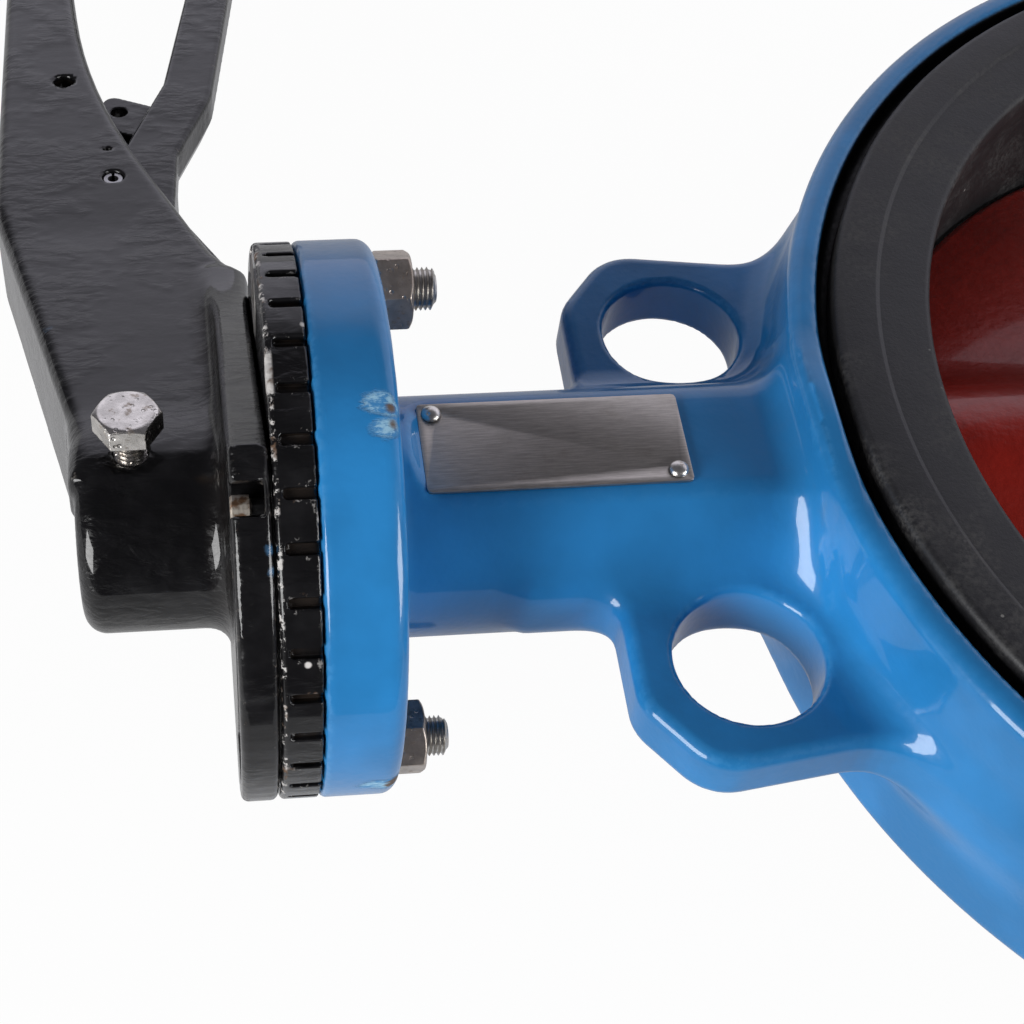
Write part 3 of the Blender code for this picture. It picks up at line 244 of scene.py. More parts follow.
TRIGGER += rounded([
    (PIVOT_X, PIVOT_Y, 0.0), (-0.2905, 0.0895, 0.010), (-0.2745, 0.0720, 0.003),
    (TOOTH_LEFT - 0.0015, TOOTH_TOP, 0.0), (TOOTH_LEFT, TOOTH_TOP, 0.0), (TOOTH_LEFT, TOOTH_TIP, 0.0),
])[1:-1]
TAB = rounded([
    (-0.2880, 0.1620, 0.0), (-0.2919, 0.1656, 0.001), (-0.3032, 0.1712, 0.003),
    (-0.3069, 0.1647, 0.004), (-0.3010, 0.1525, 0.005), (-0.2955, 0.1500, 0.004),
    (-0.2935, 0.1440, 0.0), (-0.2860, 0.1440, 0.0),
])


# Fields

EDGE_REACH = 0.0015            # how far round a point its edge or hollow is felt


def outline_field(outline, u, v):
    """Distance outside a closed outline in the plane of u and v."""
    nearest = np.full(u.shape, 1e9)
    inside = np.zeros(u.shape, bool)
    for place, (u0, v0) in enumerate(outline):
        u1, v1 = outline[(place + 1) % len(outline)]
        du, dv = u1 - u0, v1 - v0
        if du * du + dv * dv < 1e-14:
            continue
        wu, wv = u - u0, v - v0
        share = np.clip((wu * du + wv * dv) / (du * du + dv * dv), 0.0, 1.0)
        nearest = np.minimum(nearest, (wu - du * share) ** 2 + (wv - dv * share) ** 2)
        inside ^= ((wv < 0) != (wv < dv)) & ((wu * dv < wv * du) == (dv > 0))
    return np.where(inside, -1.0, 1.0) * np.sqrt(nearest)


def both(a, b, edge):
    """Where two forms overlap, with a rounded edge between their faces."""
    a, b = a + edge, b + edge
    return np.minimum(np.maximum(a, b), 0) + np.hypot(np.maximum(a, 0), np.maximum(b, 0)) - edge


def without(a, b, edge):
    return both(a, -b, edge)


def blend(a, b, reach):
    """Either of two forms, with a fillet where they meet."""
    near = np.maximum(reach - np.abs(a - b), 0) / reach
    return np.minimum(a, b) - near * near * reach / 4


def body_field(p, edge):
    """The body casting; edge rounds its lugs."""
    x, y, z = p.T
    radius, across = np.hypot(x, y), np.hypot(y, z)
    ring = both(radius - RING_R, np.abs(z) - RING_HALF, RING_ROUND)
    lugs = np.minimum(outline_field(NECK_LUGS, x, y), outline_field(FOOT_LUGS, x, y))
    lugs = both(lugs, np.abs(z) - LUG_HALF, edge)
    share = np.clip((x - NECK_FLARE_START) / (NECK_FLARE_END - NECK_FLARE_START), 0.0, 1.0)
    neck_r = NECK_FLARE_R - (NECK_FLARE_R - NECK_R) * np.sqrt(1 - share ** 2)
    neck = np.maximum(np.maximum(across - neck_r, x + 0.135), FLANGE_FACE - x)
    foot = np.maximum(both(across - FOOT_R, x - FOOT_END, 0.0025), 0.135 - x)
    back = FLANGE_FACE + FLANGE_THICK
    flange = both(both(across - FLANGE_R, x - back, FLANGE_ROUND), FLANGE_FACE - x, 0.0016)
    body = blend(ring, lugs, LUG_FILLET)
    body = blend(blend(body, blend(neck, flange, FLANGE_FILLET), NECK_FILLET), foot, NECK_FILLET)
    body = without(body, radius - RING_BORE_R, 0.0005)
    lip = both(radius - LIP_SEAT_R, RING_HALF - LIP_SEAT_DEPTH - np.abs(z), LIP_SEAT_FILLET)
    body = without(body, lip, SEAT_EDGE)
    hole = np.hypot(np.abs(x) - LUG_HOLE_X, np.abs(y) - LUG_HOLE_Y) - LUG_HOLE_R
    body = without(body, hole, HOLE_EDGE)
    bolt = np.hypot(np.abs(y) - BOLT_PLACE, np.abs(z) - BOLT_PLACE) - BOLT_HOLE_R
    bolt = np.maximum(bolt, x - BOLT_HOLE_END)
    bore = np.minimum(across - BUSH_R - GAP,
                      np.maximum(across - COUNTERBORE_R, x - FLANGE_FACE - COUNTERBORE_DEPTH))
    body = without(without(body, bolt, BORE_EDGE), bore, BORE_EDGE)
    middle, half = (FLAT_START + FLAT_END) / 2, (FLAT_END - FLAT_START) / 2
    flat = np.maximum(both(FLAT_Z - z, np.abs(x - middle) - half, FLAT_FILLET), np.abs(y) - 0.02)
    return without(body, flat, 0.0012)


def disc_field(p):
    x, y, z = p.T
    radius, across = np.hypot(x, y), np.hypot(y, z)
    half = np.interp(radius, (0, 0.5 * DISC_R, 0.9 * DISC_R, DISC_R),
                     (DISC_CENTRE_HALF, DISC_CENTRE_HALF - 0.001, DISC_RIM_HALF + 0.0015, DISC_RIM_HALF))
    hub = across - np.interp(np.abs(x), (0.085, 0.098), (HUB_WAIST_R, HUB_R))
    disc = both(blend(np.abs(z) - half, hub, HUB_FILLET), np.sqrt(x * x + y * y + z * z) - DISC_R, 0.0012)
    bore = np.maximum(across - SHAFT_R - GAP, SHAFT_START - GAP - np.abs(x))
    pins = np.min([np.hypot(x - place, y) for place in PIN_HOLES], axis=0) - PIN_HOLE_R
    return without(without(disc, bore, 0.0005), pins, 0.0008)


def lever_field(p, edge):
    """The hand lever, in the stem's frame; edge rounds its arm."""
    x, y, z = p.T
    across = np.hypot(y, z)
    arm = both(outline_field(ARM_SIDE, x, y), outline_field(ARM_PLAN, y, z), edge)
    boss = np.maximum(both(across - BOSS_R, BOSS_END - x, BOSS_ROUND), x - LEVER_FACE + 0.001)
    middle = LEVER_FACE - BASE_THICK / 2
    base = both(outline_field(BASE, y, z), np.abs(x - middle) - BASE_THICK / 2, 0.0016)
    lever = blend(blend(arm, boss, LEVER_FILLET), base, LEVER_FILLET)
    channel = both(outline_field(CHANNEL, x, y), np.abs(z) - CHANNEL_HALF, 0.002)
    lever = without(lever, channel, 0.0015)
    square = SQUARE / 2 + GAP
    lever = without(lever, both(np.abs(y) - square, np.abs(z) - square, 0.0008), 0.0006)
    lever = without(lever, outline_field(SLOT, y, z), 0.0008)
    lever = without(lever, np.maximum(outline_field(WINDOW, y, z), x - LEVER_FACE + 0.0013), 0.0006)
    holes = np.minimum(np.hypot(x - EYE_X, y - EYE_Y) - EYE_R,
                       np.hypot(x - PIVOT_X, y - PIVOT_Y) - PIVOT_PIN_R - GAP)
    clamp = np.maximum(np.hypot(x - CLAMP_X, y) - CLAMP_R - GAP, -z)
    lever = without(lever, np.minimum(holes, clamp), 0.0007)
    sand_hole = np.sqrt((x - SAND_HOLE[0]) ** 2 + 2 * (y - SAND_HOLE[1]) ** 2 + (z - SAND_HOLE[2]) ** 2)
    return without(lever, (sand_hole - SAND_HOLE_R) * 0.8, 0.0005)


def trigger_field(p):
    x, y, z = p.T
    draft = TRIGGER_DRAFT * np.maximum(-z, 0) * (y > PIVOT_Y + TRIGGER_DRAFT_START)
    drafted = outline_field(TRIGGER, x, y) + draft
    trigger = both(drafted, np.abs(z) - TRIGGER_HALF, 0.0016)
    sides = np.maximum(y - TOOTH_TOP, TOOTH_HALF - np.abs(z))
    trigger = without(trigger, sides, 0.0003)
    tab = both(outline_field(TAB, x, y), np.abs(z) - TAB_HALF, 0.0006)
    holes = np.minimum(np.hypot(x - PIVOT_X, y - PIVOT_Y) - PIVOT_PIN_R - GAP,
                       np.hypot(x - TAB_HOLE_X, y - TAB_HOLE_Y) - TAB_HOLE_R)
    return without(blend(trigger, tab, 0.0025), holes, 0.0005)


def notch_plate_field(p):
    x, y, z = p.T
    across, right = np.hypot(y, z), FLANGE_FACE - GAP
    left = right - NOTCH_PLATE_THICK
    plate = both(both(across - NOTCH_PLATE_R, left - x, 0.0012), x - right, 0.0005)
    part = 2 * math.pi / NOTCH_COUNT
    turn = np.arctan2(z, y) - NOTCH_OFFSET
    turn -= part * np.round(turn / part)
    side = np.abs(across * np.sin(turn)) - NOTCH_WIDTH / 2
    notch = np.maximum(both(side, left + NOTCH_WALL - x, 0.0008),
                       NOTCH_PLATE_R - NOTCH_DEPTH - across * np.cos(turn))
    plate = without(without(plate, notch, 0.0003), across - SHAFT_R - GAP, 0.0005)
    from_bolt = np.minimum(np.hypot(y - BOLT_PLACE, z - BOLT_PLACE), np.hypot(y + BOLT_PLACE, z + BOLT_PLACE))
    rim = BOLT_HEAD_R + 2 * GAP
    sink = (from_bolt - np.clip(rim - (x - left - 0.0006), BOLT_R + GAP, rim)) * 0.75
    seat = polar(STOP_CIRCLE_R, STOP_PIN_ANGLE)
    seat = np.maximum(np.hypot(y - seat[0], z - seat[1]) - STOP_PIN_SEAT_R, x - right + 0.0015)
    return without(plate, np.minimum(sink, seat), 0.0004)


def hexagon_field(p, flats, length, low_cone, high_cone):
    """A hexagonal bar along X from 0 to length, its corners turned off where a cone is asked for."""
    x, y, z = p.T
    across = np.hypot(y, z)
    sides = np.max([np.abs(y), np.abs(y + z * ROOT_3) / 2, np.abs(y - z * ROOT_3) / 2], axis=0)
    bar = both(sides - flats / 2, np.abs(x - length / 2) - length / 2, 0.0002)
    for wanted, past in ((low_cone, -x), (high_cone, x - length)):
        if wanted:
            bar = both(bar, (across - flats * 0.475) * 0.5 + past * ROOT_3 / 2, 0.0002)
    return bar


# Skins

def sampled(field, low, high, step, block=4):
    """The field's values on a grid, worked out finely only near its surface."""
    counts = np.ceil((high - low) / (step * block)).astype(int)
    rough = np.stack(np.meshgrid(*[np.arange(count) for count in counts], indexing="ij"), -1)
    rough = field(low + step * block * (rough.reshape(-1, 3) + 0.5)).reshape(counts)
    values = rough.repeat(block, 0).repeat(block, 1).repeat(block, 2)
    near = np.abs(values) < 1.3 * block * step
    values[near] = field(low + step * (np.argwhere(near) + 0.5))
    return values


def surface_cells(values):
    """Vertices, in steps of the grid, and four-sided faces of the surface where values change sign."""
    inside = values < 0
    size = np.array(values.shape) - 1
    corners = [np.array([a, b, c]) for a in (0, 1) for b in (0, 1) for c in (0, 1)]
    stacked = np.stack([inside[a:size[0] + a, b:size[1] + b, c:size[2] + c] for a, b, c in corners])
    active = stacked.any(0) & ~stacked.all(0)
    cells = np.argwhere(active)
    number = np.full(active.shape, -1)
    number[active] = np.arange(len(cells))
    total, count = np.zeros((len(cells), 3)), np.zeros(len(cells))
    for axis, unit in enumerate(np.eye(3, dtype=int)):
        for corner in corners:
            if corner[axis]:
                continue
            first = values[tuple((cells + corner).T)]
            last = values[tuple((cells + corner + unit).T)]
            crosses = (first < 0) != (last < 0)
            share = np.where(crosses, first / np.where(crosses, first - last, 1.0), 0.0)
            total += crosses[:, None] * (corner + share[:, None] * unit)
            count += crosses
    faces = []
    for axis, unit in enumerate(np.eye(3, dtype=int)):
        one, two = np.eye(3, dtype=int)[(axis + 1) % 3], np.eye(3, dtype=int)[(axis + 2) % 3]
        low = [slice(1, count) for count in size]
        on = [slice(1 + step, count + step) for step, count in zip(unit, size)]
        starts, ends = inside[tuple(low)], inside[tuple(on)]
        for leaving in (True, False):
            place = np.argwhere((starts != ends) & (starts == leaving)) + 1
            ring = [place, place - one, place - one - two, place - two]
            quads = np.stack([number[tuple(cell.T)] for cell in ring], -1)
            faces.append(quads if leaving else quads[:, ::-1])
    return cells + total / count[:, None], np.concatenate(faces)


def slope(field, p, reach=0.0001):
    """The field's gradient, from four samples round each point."""
    result = np.zeros_like(p)
    for corner in np.array([(1, -1, -1), (-1, -1, 1), (-1, 1, -1), (1, 1, 1)], float):
        result += field(p + corner * reach)[:, None] * corner
    return result / (4 * reach)


def mesh_from(name, points, faces):
    mesh = bpy.data.meshes.new(name)
    points, faces = np.asarray(points, np.float32), np.asarray(faces, np.int32)
    mesh.vertices.add(len(points))
    mesh.vertices.foreach_set("co", points.ravel())
    mesh.loops.add(faces.size)
    mesh.loops.foreach_set("vertex_index", faces.ravel())
    mesh.polygons.add(len(faces))
    mesh.polygons.foreach_set("loop_start", np.arange(0, faces.size, faces.shape[1], dtype=np.int32))
    mesh.update(calc_edges=True)
    mesh.validate()
    return mesh


def points_of(mesh):
    points = np.empty(3 * len(mesh.vertices))
    mesh.vertices.foreach_get("co", points)
    return points.reshape(-1, 3)


def shaded(mesh, degrees=32):
    """Smooth shading that keeps the edges that turn by more than an angle."""
    mesh.shade_smooth()
    mesh.set_sharp_from_angle(angle=math.radians(degrees))


def turned_to_world(points, turn):
    """Places from the stem's frame to the world's."""
    x, y, z = points.T
    sine, cosine = math.sin(turn), math.cos(turn)
    return np.stack([x, y * cosine + z * sine, z * cosine - y * sine], -1)


def drawn_to(field, points, step, times):
    """Moves points onto the field's surface."""
    for _ in range(times):
        rise = slope(field, points)
        away = np.clip(field(points), -step, step)
        points = points - rise * (away / np.maximum((rise ** 2).sum(1), 0.2))[:, None]
    return points


def thinned(points, faces, keep):
    """Fewer triangles, most of them taken where the surface is nearly flat."""
    item = piece("thinned", mesh_from("thinned", points, faces))
    live = item.modifiers.new("Thin", "DECIMATE")
    live.ratio = keep
    made_plain(item)
    mesh = item.data
    mesh.calc_loop_triangles()
    points, faces = points_of(mesh), np.empty(3 * len(mesh.loop_triangles), np.int32)
    mesh.loop_triangles.foreach_get("vertices", faces)
    bpy.data.objects.remove(item)
    bpy.data.meshes.remove(mesh)
    return points, faces.reshape(-1, 3)


def skin(name, field, low, high, step, turn=0.0, keep=1.0):
    """A closed mesh on the field's surface, smooth to the eye, with how far each point stands on an
    edge or in a hollow kept as the attribute edge, from 1 to -1; keep is the share of triangles kept."""
    low, high = np.array(low) - 2 * step, np.array(high) + 2 * step
    points, faces = surface_cells(sampled(field, low, high, step))
    points = drawn_to(field, low + step * (points + 0.5), step, 4)
    if keep < 1:
        points, faces = thinned(points, faces, keep)
        points = drawn_to(field, points, step / 4, 1)
    normals = slope(field, points)
    normals /= np.maximum(np.linalg.norm(normals, axis=1), 1e-6)[:, None]
    around = [side * EDGE_REACH * unit for unit in np.eye(3) for side in (-1, 1)]
    edge = sum(field(points + step) for step in around) / EDGE_REACH
    mesh = mesh_from(name, turned_to_world(points, turn), faces)
    mesh.shade_smooth()
    mesh.normals_split_custom_set_from_vertices(turned_to_world(normals, turn).tolist())
    mesh.attributes.new("edge", "FLOAT", "POINT").data.foreach_set("value", np.clip(edge, -1, 1))
    return piece(name, mesh)


# Other pieces

def piece(name, mesh):
    """An object in the scene, at the origin."""
    item = bpy.data.objects.new(name, mesh)
    bpy.context.scene.collection.objects.link(item)
    return item


def settle(item, body, slot_name, material, *nodes):
    """Gives a finished piece its material, its body and the CAD nodes it stands for."""
    item.data.materials.clear()
    item.data.materials.append(material)
    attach(item, body)
    if nodes:
        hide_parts(*nodes)


def made_plain(item):
    """Turns an object's modifiers into plain mesh."""
    graph = bpy.context.evaluated_depsgraph_get()
    mesh = bpy.data.meshes.new_from_object(item.evaluated_get(graph))
    item.modifiers.clear()
    old = item.data
    item.data = mesh
    bpy.data.meshes.remove(old)
    mesh.name = item.name


def lathe(name, profile, steps, axis="X"):
    """A closed (radius, along) profile turned round X or Z."""
    count = len(profile)
    turns = np.arange(steps) * 2 * math.pi / steps
    radius, along = np.array(profile).T
    ring = np.stack([np.outer(np.cos(turns), radius), np.outer(np.sin(turns), radius),
                     np.tile(along, (steps, 1))], -1).reshape(-1, 3)
    if axis == "X":
        ring = ring[:, [2, 0, 1]]
    place, row = np.arange(steps)[:, None] * count, np.arange(count)
    on, after = (place + count) % (steps * count), (row + 1) % count
    faces = np.stack([place + row, on + row, on + after, place + after], -1).reshape(-1, 4)
    shape = bmesh.new()
    mesh = mesh_from(name, ring, faces)
    shape.from_mesh(mesh)
    bmesh.ops.remove_doubles(shape, verts=shape.verts, dist=0.000002)
    bmesh.ops.dissolve_degenerate(shape, edges=shape.edges, dist=0.000001)
    bmesh.ops.recalc_face_normals(shape, faces=shape.faces)
    shape.to_mesh(mesh)
    shape.free()
    shaded(mesh)
    return piece(name, mesh)


def cut(item, tool):
    """Takes a tool's shape out of an item and removes the tool."""
    live = item.modifiers.new("Cut", "BOOLEAN")
    live.solver, live.object = "EXACT", tool
    made_plain(item)
    bpy.data.objects.remove(tool)
    shaded(item.data)


def joined(name, *items):
    """One piece from several, which are used up."""
    shape = bmesh.new()
    for item in items:
        shape.from_mesh(item.data)
        bpy.data.objects.remove(item)
    mesh = bpy.data.meshes.new(name)
    shape.to_mesh(mesh)
    shape.free()
    shaded(mesh)
    return piece(name, mesh)


class Rule:
    """A geometry node tree being built, with its sizes as named inputs."""

    SOCKETS = {int: "NodeSocketInt", float: "NodeSocketFloat", tuple: "NodeSocketVector"}

    def __init__(self, name, sizes, material):
        self.sizes = {**sizes, "Material": material}
        self.tree = bpy.data.node_groups.new(name, "GeometryNodeTree")
        self.tree.interface.new_socket("Geometry", in_out="INPUT", socket_type="NodeSocketGeometry")
        for label, value in self.sizes.items():
            self.tree.interface.new_socket(label, in_out="INPUT",
                                           socket_type=self.SOCKETS.get(type(value), "NodeSocketMaterial"))
        self.tree.interface.new_socket("Geometry", in_out="OUTPUT", socket_type="NodeSocketGeometry")
        self.given = self.tree.nodes.new("NodeGroupInput").outputs

    def node(self, kind, settings=(), inputs=()):
        """A node's first output, once its settings and then its sockets are set."""
        made = self.tree.nodes.new(kind)
        for name, value in dict(settings).items():
            setattr(made, name, value)
        for socket, value in dict(inputs).items():
            if isinstance(value, bpy.types.NodeSocket):
                self.tree.links.new(value, made.inputs[socket])
            else:
                made.inputs[socket].default_value = value
        return made.outputs[0]

    def thread(self, blank):
        """The blank with a thread's ridge wound along it, round X."""
        turns = self.node("ShaderNodeMath", {"operation": "DIVIDE"},
                          {0: self.given["Thread length"], 1: self.given["Thread pitch"]})
        depth = self.node("ShaderNodeMath", {"operation": "MULTIPLY"},
                          {0: self.given["Thread pitch"], 1: THREAD_DEPTH})
        middle = self.node("ShaderNodeMath", {"operation": "SUBTRACT"},
                           {0: self.given["Thread radius"], 1: depth})
        path = self.node("GeometryNodeCurveSpiral", (), {
            "Resolution": 40, "Rotations": turns, "Start Radius": middle, "End Radius": middle,
            "Height": self.given["Thread length"]})
        path = self.node("GeometryNodeSetCurveNormal", {"mode": "Z_UP"}, {"Curve": path})
        ridge = self.node("GeometryNodeCurvePrimitiveCircle", (), {"Resolution": 3, "Radius": depth})
        ridge = self.node("GeometryNodeTransform", (), {"Geometry": ridge, "Rotation": (0.0, 0.0, math.pi)})
        ridge = self.node("GeometryNodeCurveToMesh", (), {
            "Curve": path, "Profile Curve": ridge, "Fill Caps": True})
        start = self.node("ShaderNodeCombineXYZ", (), {"X": self.given["Thread start"]})
        ridge = self.node("GeometryNodeTransform", (), {
            "Geometry": ridge, "Translation": start, "Rotation": (0.0, math.pi / 2, 0.0)})
        both_pieces = self.tree.nodes.new("GeometryNodeJoinGeometry")
        self.tree.links.new(blank, both_pieces.inputs[0])
        self.tree.links.new(ridge, both_pieces.inputs[0])
        return both_pieces.outputs[0]

    def row(self, item):
        """Copies of a piece in a row, each turned a step further than the last."""
        number = self.node("GeometryNodeInputIndex")
        turn = self.node("ShaderNodeVectorMath", {"operation": "SCALE"},
                         {0: self.given["Turn step"], "Scale": number})
        turn = self.node("ShaderNodeVectorMath", {"operation": "ADD"}, {0: turn, 1: self.given["First turn"]})
        places = self.node("GeometryNodeMeshLine", {"mode": "OFFSET"}, {
            "Count": self.given["Count"], "Start Location": self.given["First place"],
            "Offset": self.given["Place step"]})
        return self.node("GeometryNodeInstanceOnPoints", (), {
            "Points": places, "Instance": item, "Rotation": turn})

    def apply(self, item, result):
        """Ends the tree, runs it on an item and leaves plain mesh."""
        result = self.node("GeometryNodeRealizeInstances", (), {"Geometry": result})
        result = self.node("GeometryNodeSetMaterial", (), {"Geometry": result,
                                                           "Material": self.given["Material"]})
        end = self.tree.nodes.new("NodeGroupOutput")
        self.tree.links.new(result, end.inputs[0])
        live = item.modifiers.new(self.tree.name, "NODES")
        live.node_group = self.tree
        for socket in self.tree.interface.items_tree:
            if socket.in_out == "INPUT" and socket.name in self.sizes:
                live[socket.identifier] = self.sizes[socket.name]
        item.update_tag()
        made_plain(item)
        shaded(item.data)
        return item


def in_a_row(item, material, count, first, step=(0.0, 0.0, 0.0), turn=(0.0, 0.0, 0.0),
             turn_step=(0.0, 0.0, 0.0), thread=None):
    """Repeats a piece made round X by its rule; thread is its start, length, pitch and radius."""
    sizes = {"Count": count, "First place": first, "Place step": step, "First turn": turn,
             "Turn step": turn_step}
    if thread:
        sizes.update(zip(("Thread start", "Thread length", "Thread pitch", "Thread radius"), thread))
    rule = Rule(item.name + "_rule", sizes, material)
    one = rule.given["Geometry"]
    return rule.apply(item, rule.row(rule.thread(one) if thread else one))


def eased_copy(name, node, edge):
    """A copy of a CAD node with its sharp edges eased."""
    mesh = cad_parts[node].data.copy()
    mesh.name = name
    shape = bmesh.new()
    shape.from_mesh(mesh)
    bmesh.ops.remove_doubles(shape, verts=shape.verts, dist=0.000004)
    bmesh.ops.dissolve_limit(shape, angle_limit=math.radians(1), verts=shape.verts, edges=shape.edges)
    shape.to_mesh(mesh)
    shape.free()
    item = piece(name, mesh)
    ease = item.modifiers.new("Ease", "BEVEL")
    ease.width = edge
    ease.segments = 2
    ease.limit_method = "ANGLE"
    ease.angle_limit = math.radians(32)
    made_plain(item)
    shaded(item.data)
    return item


# Finishes

class Flow:
    """What a node gives, for sums on it; each sum adds a Math node."""

    def __init__(self, finish, socket):
        self.finish, self.socket = finish, socket

    def sum(self, operation, *values):
        made = self.finish.node("ShaderNodeMath", {"operation": operation}, dict(enumerate(values)))
        return Flow(self.finish, made.outputs[0])

    def __add__(self, other):
        return self.sum("ADD", self, other)

    def __sub__(self, other):
        return self.sum("SUBTRACT", self, other)

    def __rsub__(self, other):
        return self.sum("SUBTRACT", other, self)

    def __mul__(self, other):
        return self.sum("MULTIPLY", self, other)

    __radd__ = __add__
    __rmul__ = __mul__

    def most(self, other):
        return self.sum("MAXIMUM", self, other)

    def step(self, low, high):
        """0 below low and 1 above high, smooth between; high may be the lesser."""
        made = self.finish.node("ShaderNodeMapRange", {"interpolation_type": "SMOOTHSTEP"},
                                {0: self, 1: low, 2: high})
        return Flow(self.finish, made.outputs[0])


class Finish:
    """A material being built."""

    def __init__(self, name, colour, roughness, metallic=0.0, coat=0.0, coat_roughness=0.1):
        self.material = bpy.data.materials.new(name)
        self.material.use_nodes = True
        self.tree = self.material.node_tree
        self.shader = self.tree.nodes["Principled BSDF"]
        self.material.diffuse_color = (*colour, 1.0)
        self.feed(self.shader.inputs["Base Color"], (*colour, 1.0))
        self.feed(self.shader.inputs["Roughness"], roughness)
        self.feed(self.shader.inputs["Metallic"], metallic)
        self.feed(self.shader.inputs["Coat Weight"], coat)
        self.feed(self.shader.inputs["Coat Roughness"], coat_roughness)
        self.place = Flow(self, self.node("ShaderNodeTexCoord").outputs["Object"])

    def feed(self, socket, value):
        if isinstance(value, Flow):
            self.tree.links.new(value.socket, socket)
        else:
            socket.default_value = value

    def node(self, kind, settings=(), inputs=()):
        made = self.tree.nodes.new(kind)
        for name, value in dict(settings).items():
            setattr(made, name, value)
        for socket, value in dict(inputs).items():
            self.feed(made.inputs[socket], value)
        return made

    def set(self, **values):
        for name, value in values.items():
            label = name.replace("_", " ").title().replace("Ior", "IOR")
            self.feed(self.shader.inputs[label], value)

    def axes(self):
        made = self.node("ShaderNodeSeparateXYZ", (), {0: self.place})
        return [Flow(self, socket) for socket in made.outputs]

    def noise(self, size, detail=3.0, roughness=0.5, stretch=(1, 1, 1), warp=0.0):
        """Cloudy noise whose features are about size across, longer where stretch is over 1."""
        where = self.node("ShaderNodeMapping", {"vector_type": "POINT"},
                          {0: self.place, 3: [1 / (size * way) for way in stretch]})
        made = self.node("ShaderNodeTexNoise", (), {
            "Vector": Flow(self, where.outputs[0]), "Scale": 1.0, "Detail": detail,
            "Roughness": roughness, "Distortion": warp})
        return Flow(self, made.outputs[0])

    def cells(self, size):
        where = self.node("ShaderNodeMapping", (), {0: self.place, 3: [1 / size] * 3})
        made = self.node("ShaderNodeTexVoronoi", (),
                         {"Vector": Flow(self, where.outputs[0]), "Scale": 1.0})
        return Flow(self, made.outputs[0])

    def spot(self, centre, radius, ragged, long=1.0):
        """1 within radius of a place, with an uneven border; long stretches it along X."""
        place = self.node("ShaderNodeVectorMath", {"operation": "MULTIPLY"},
                          {0: self.place, 1: (1 / long, 1, 1)})
        made = self.node("ShaderNodeVectorMath", {"operation": "DISTANCE"}, {
            0: Flow(self, place.outputs[0]), 1: (centre[0] / long, *centre[1:])})
        far = Flow(self, made.outputs["Value"]) + (ragged - 0.5) * (radius * 2.2)
        return far.step(radius + SPOT_BORDER, radius - SPOT_BORDER)

    def attribute(self, name):
        return Flow(self, self.node("ShaderNodeAttribute", {"attribute_name": name}).outputs["Fac"])

    def mix(self, factor, first, second):
        colours = [value if isinstance(value, Flow) else (*value, 1.0) for value in (first, second)]
        made = self.node("ShaderNodeMix", {"data_type": "RGBA"}, {0: factor, 6: colours[0], 7: colours[1]})
        return Flow(self, made.outputs[2])

    def bump(self, height, depth, below=None):
        """Raises the surface by height times depth."""
        inputs = {"Height": height, "Strength": 1.0, "Distance": depth}
        if below is not None:
            inputs["Normal"] = below
        return Flow(self, self.node("ShaderNodeBump", (), inputs).outputs[0])


class Studio(Finish):
    """The world's nodes, which take the same sums."""

    def __init__(self, tree):
        self.tree = tree

    def direction(self):
        where = self.node("ShaderNodeTexCoord").outputs["Generated"]
        made = self.node("ShaderNodeSeparateXYZ", (), {0: Flow(self, where)})
        return [Flow(self, socket) for socket in made.outputs]

    def rays(self):
        """1 for rays that show the background outright, and 1 for reflected ones."""
        path = self.node("ShaderNodeLightPath").outputs
        seen = Flow(self, path["Is Camera Ray"]).most(Flow(self, path["Is Transmission Ray"]))
        return seen, Flow(self, path["Is Glossy Ray"])


def floor_white():
    """Matt white that looks plain white to the camera and pale in reflections, and keeps the shadow."""
    floor = Finish("floor_white", (0.7, 0.7, 0.7), 0.9)
    studio = Studio(floor.tree)
    seen, mirrored = studio.rays()
    glow = floor.node("ShaderNodeEmission")
    mixed = floor.node("ShaderNodeMixShader", (), {
        0: seen.most(mirrored * 0.35) * 0.97, 1: Flow(floor, floor.shader.outputs[0]),
        2: Flow(floor, glow.outputs[0])})
    floor.feed(floor.tree.nodes["Material Output"].inputs[0], Flow(floor, mixed.outputs[0]))
    return floor.material


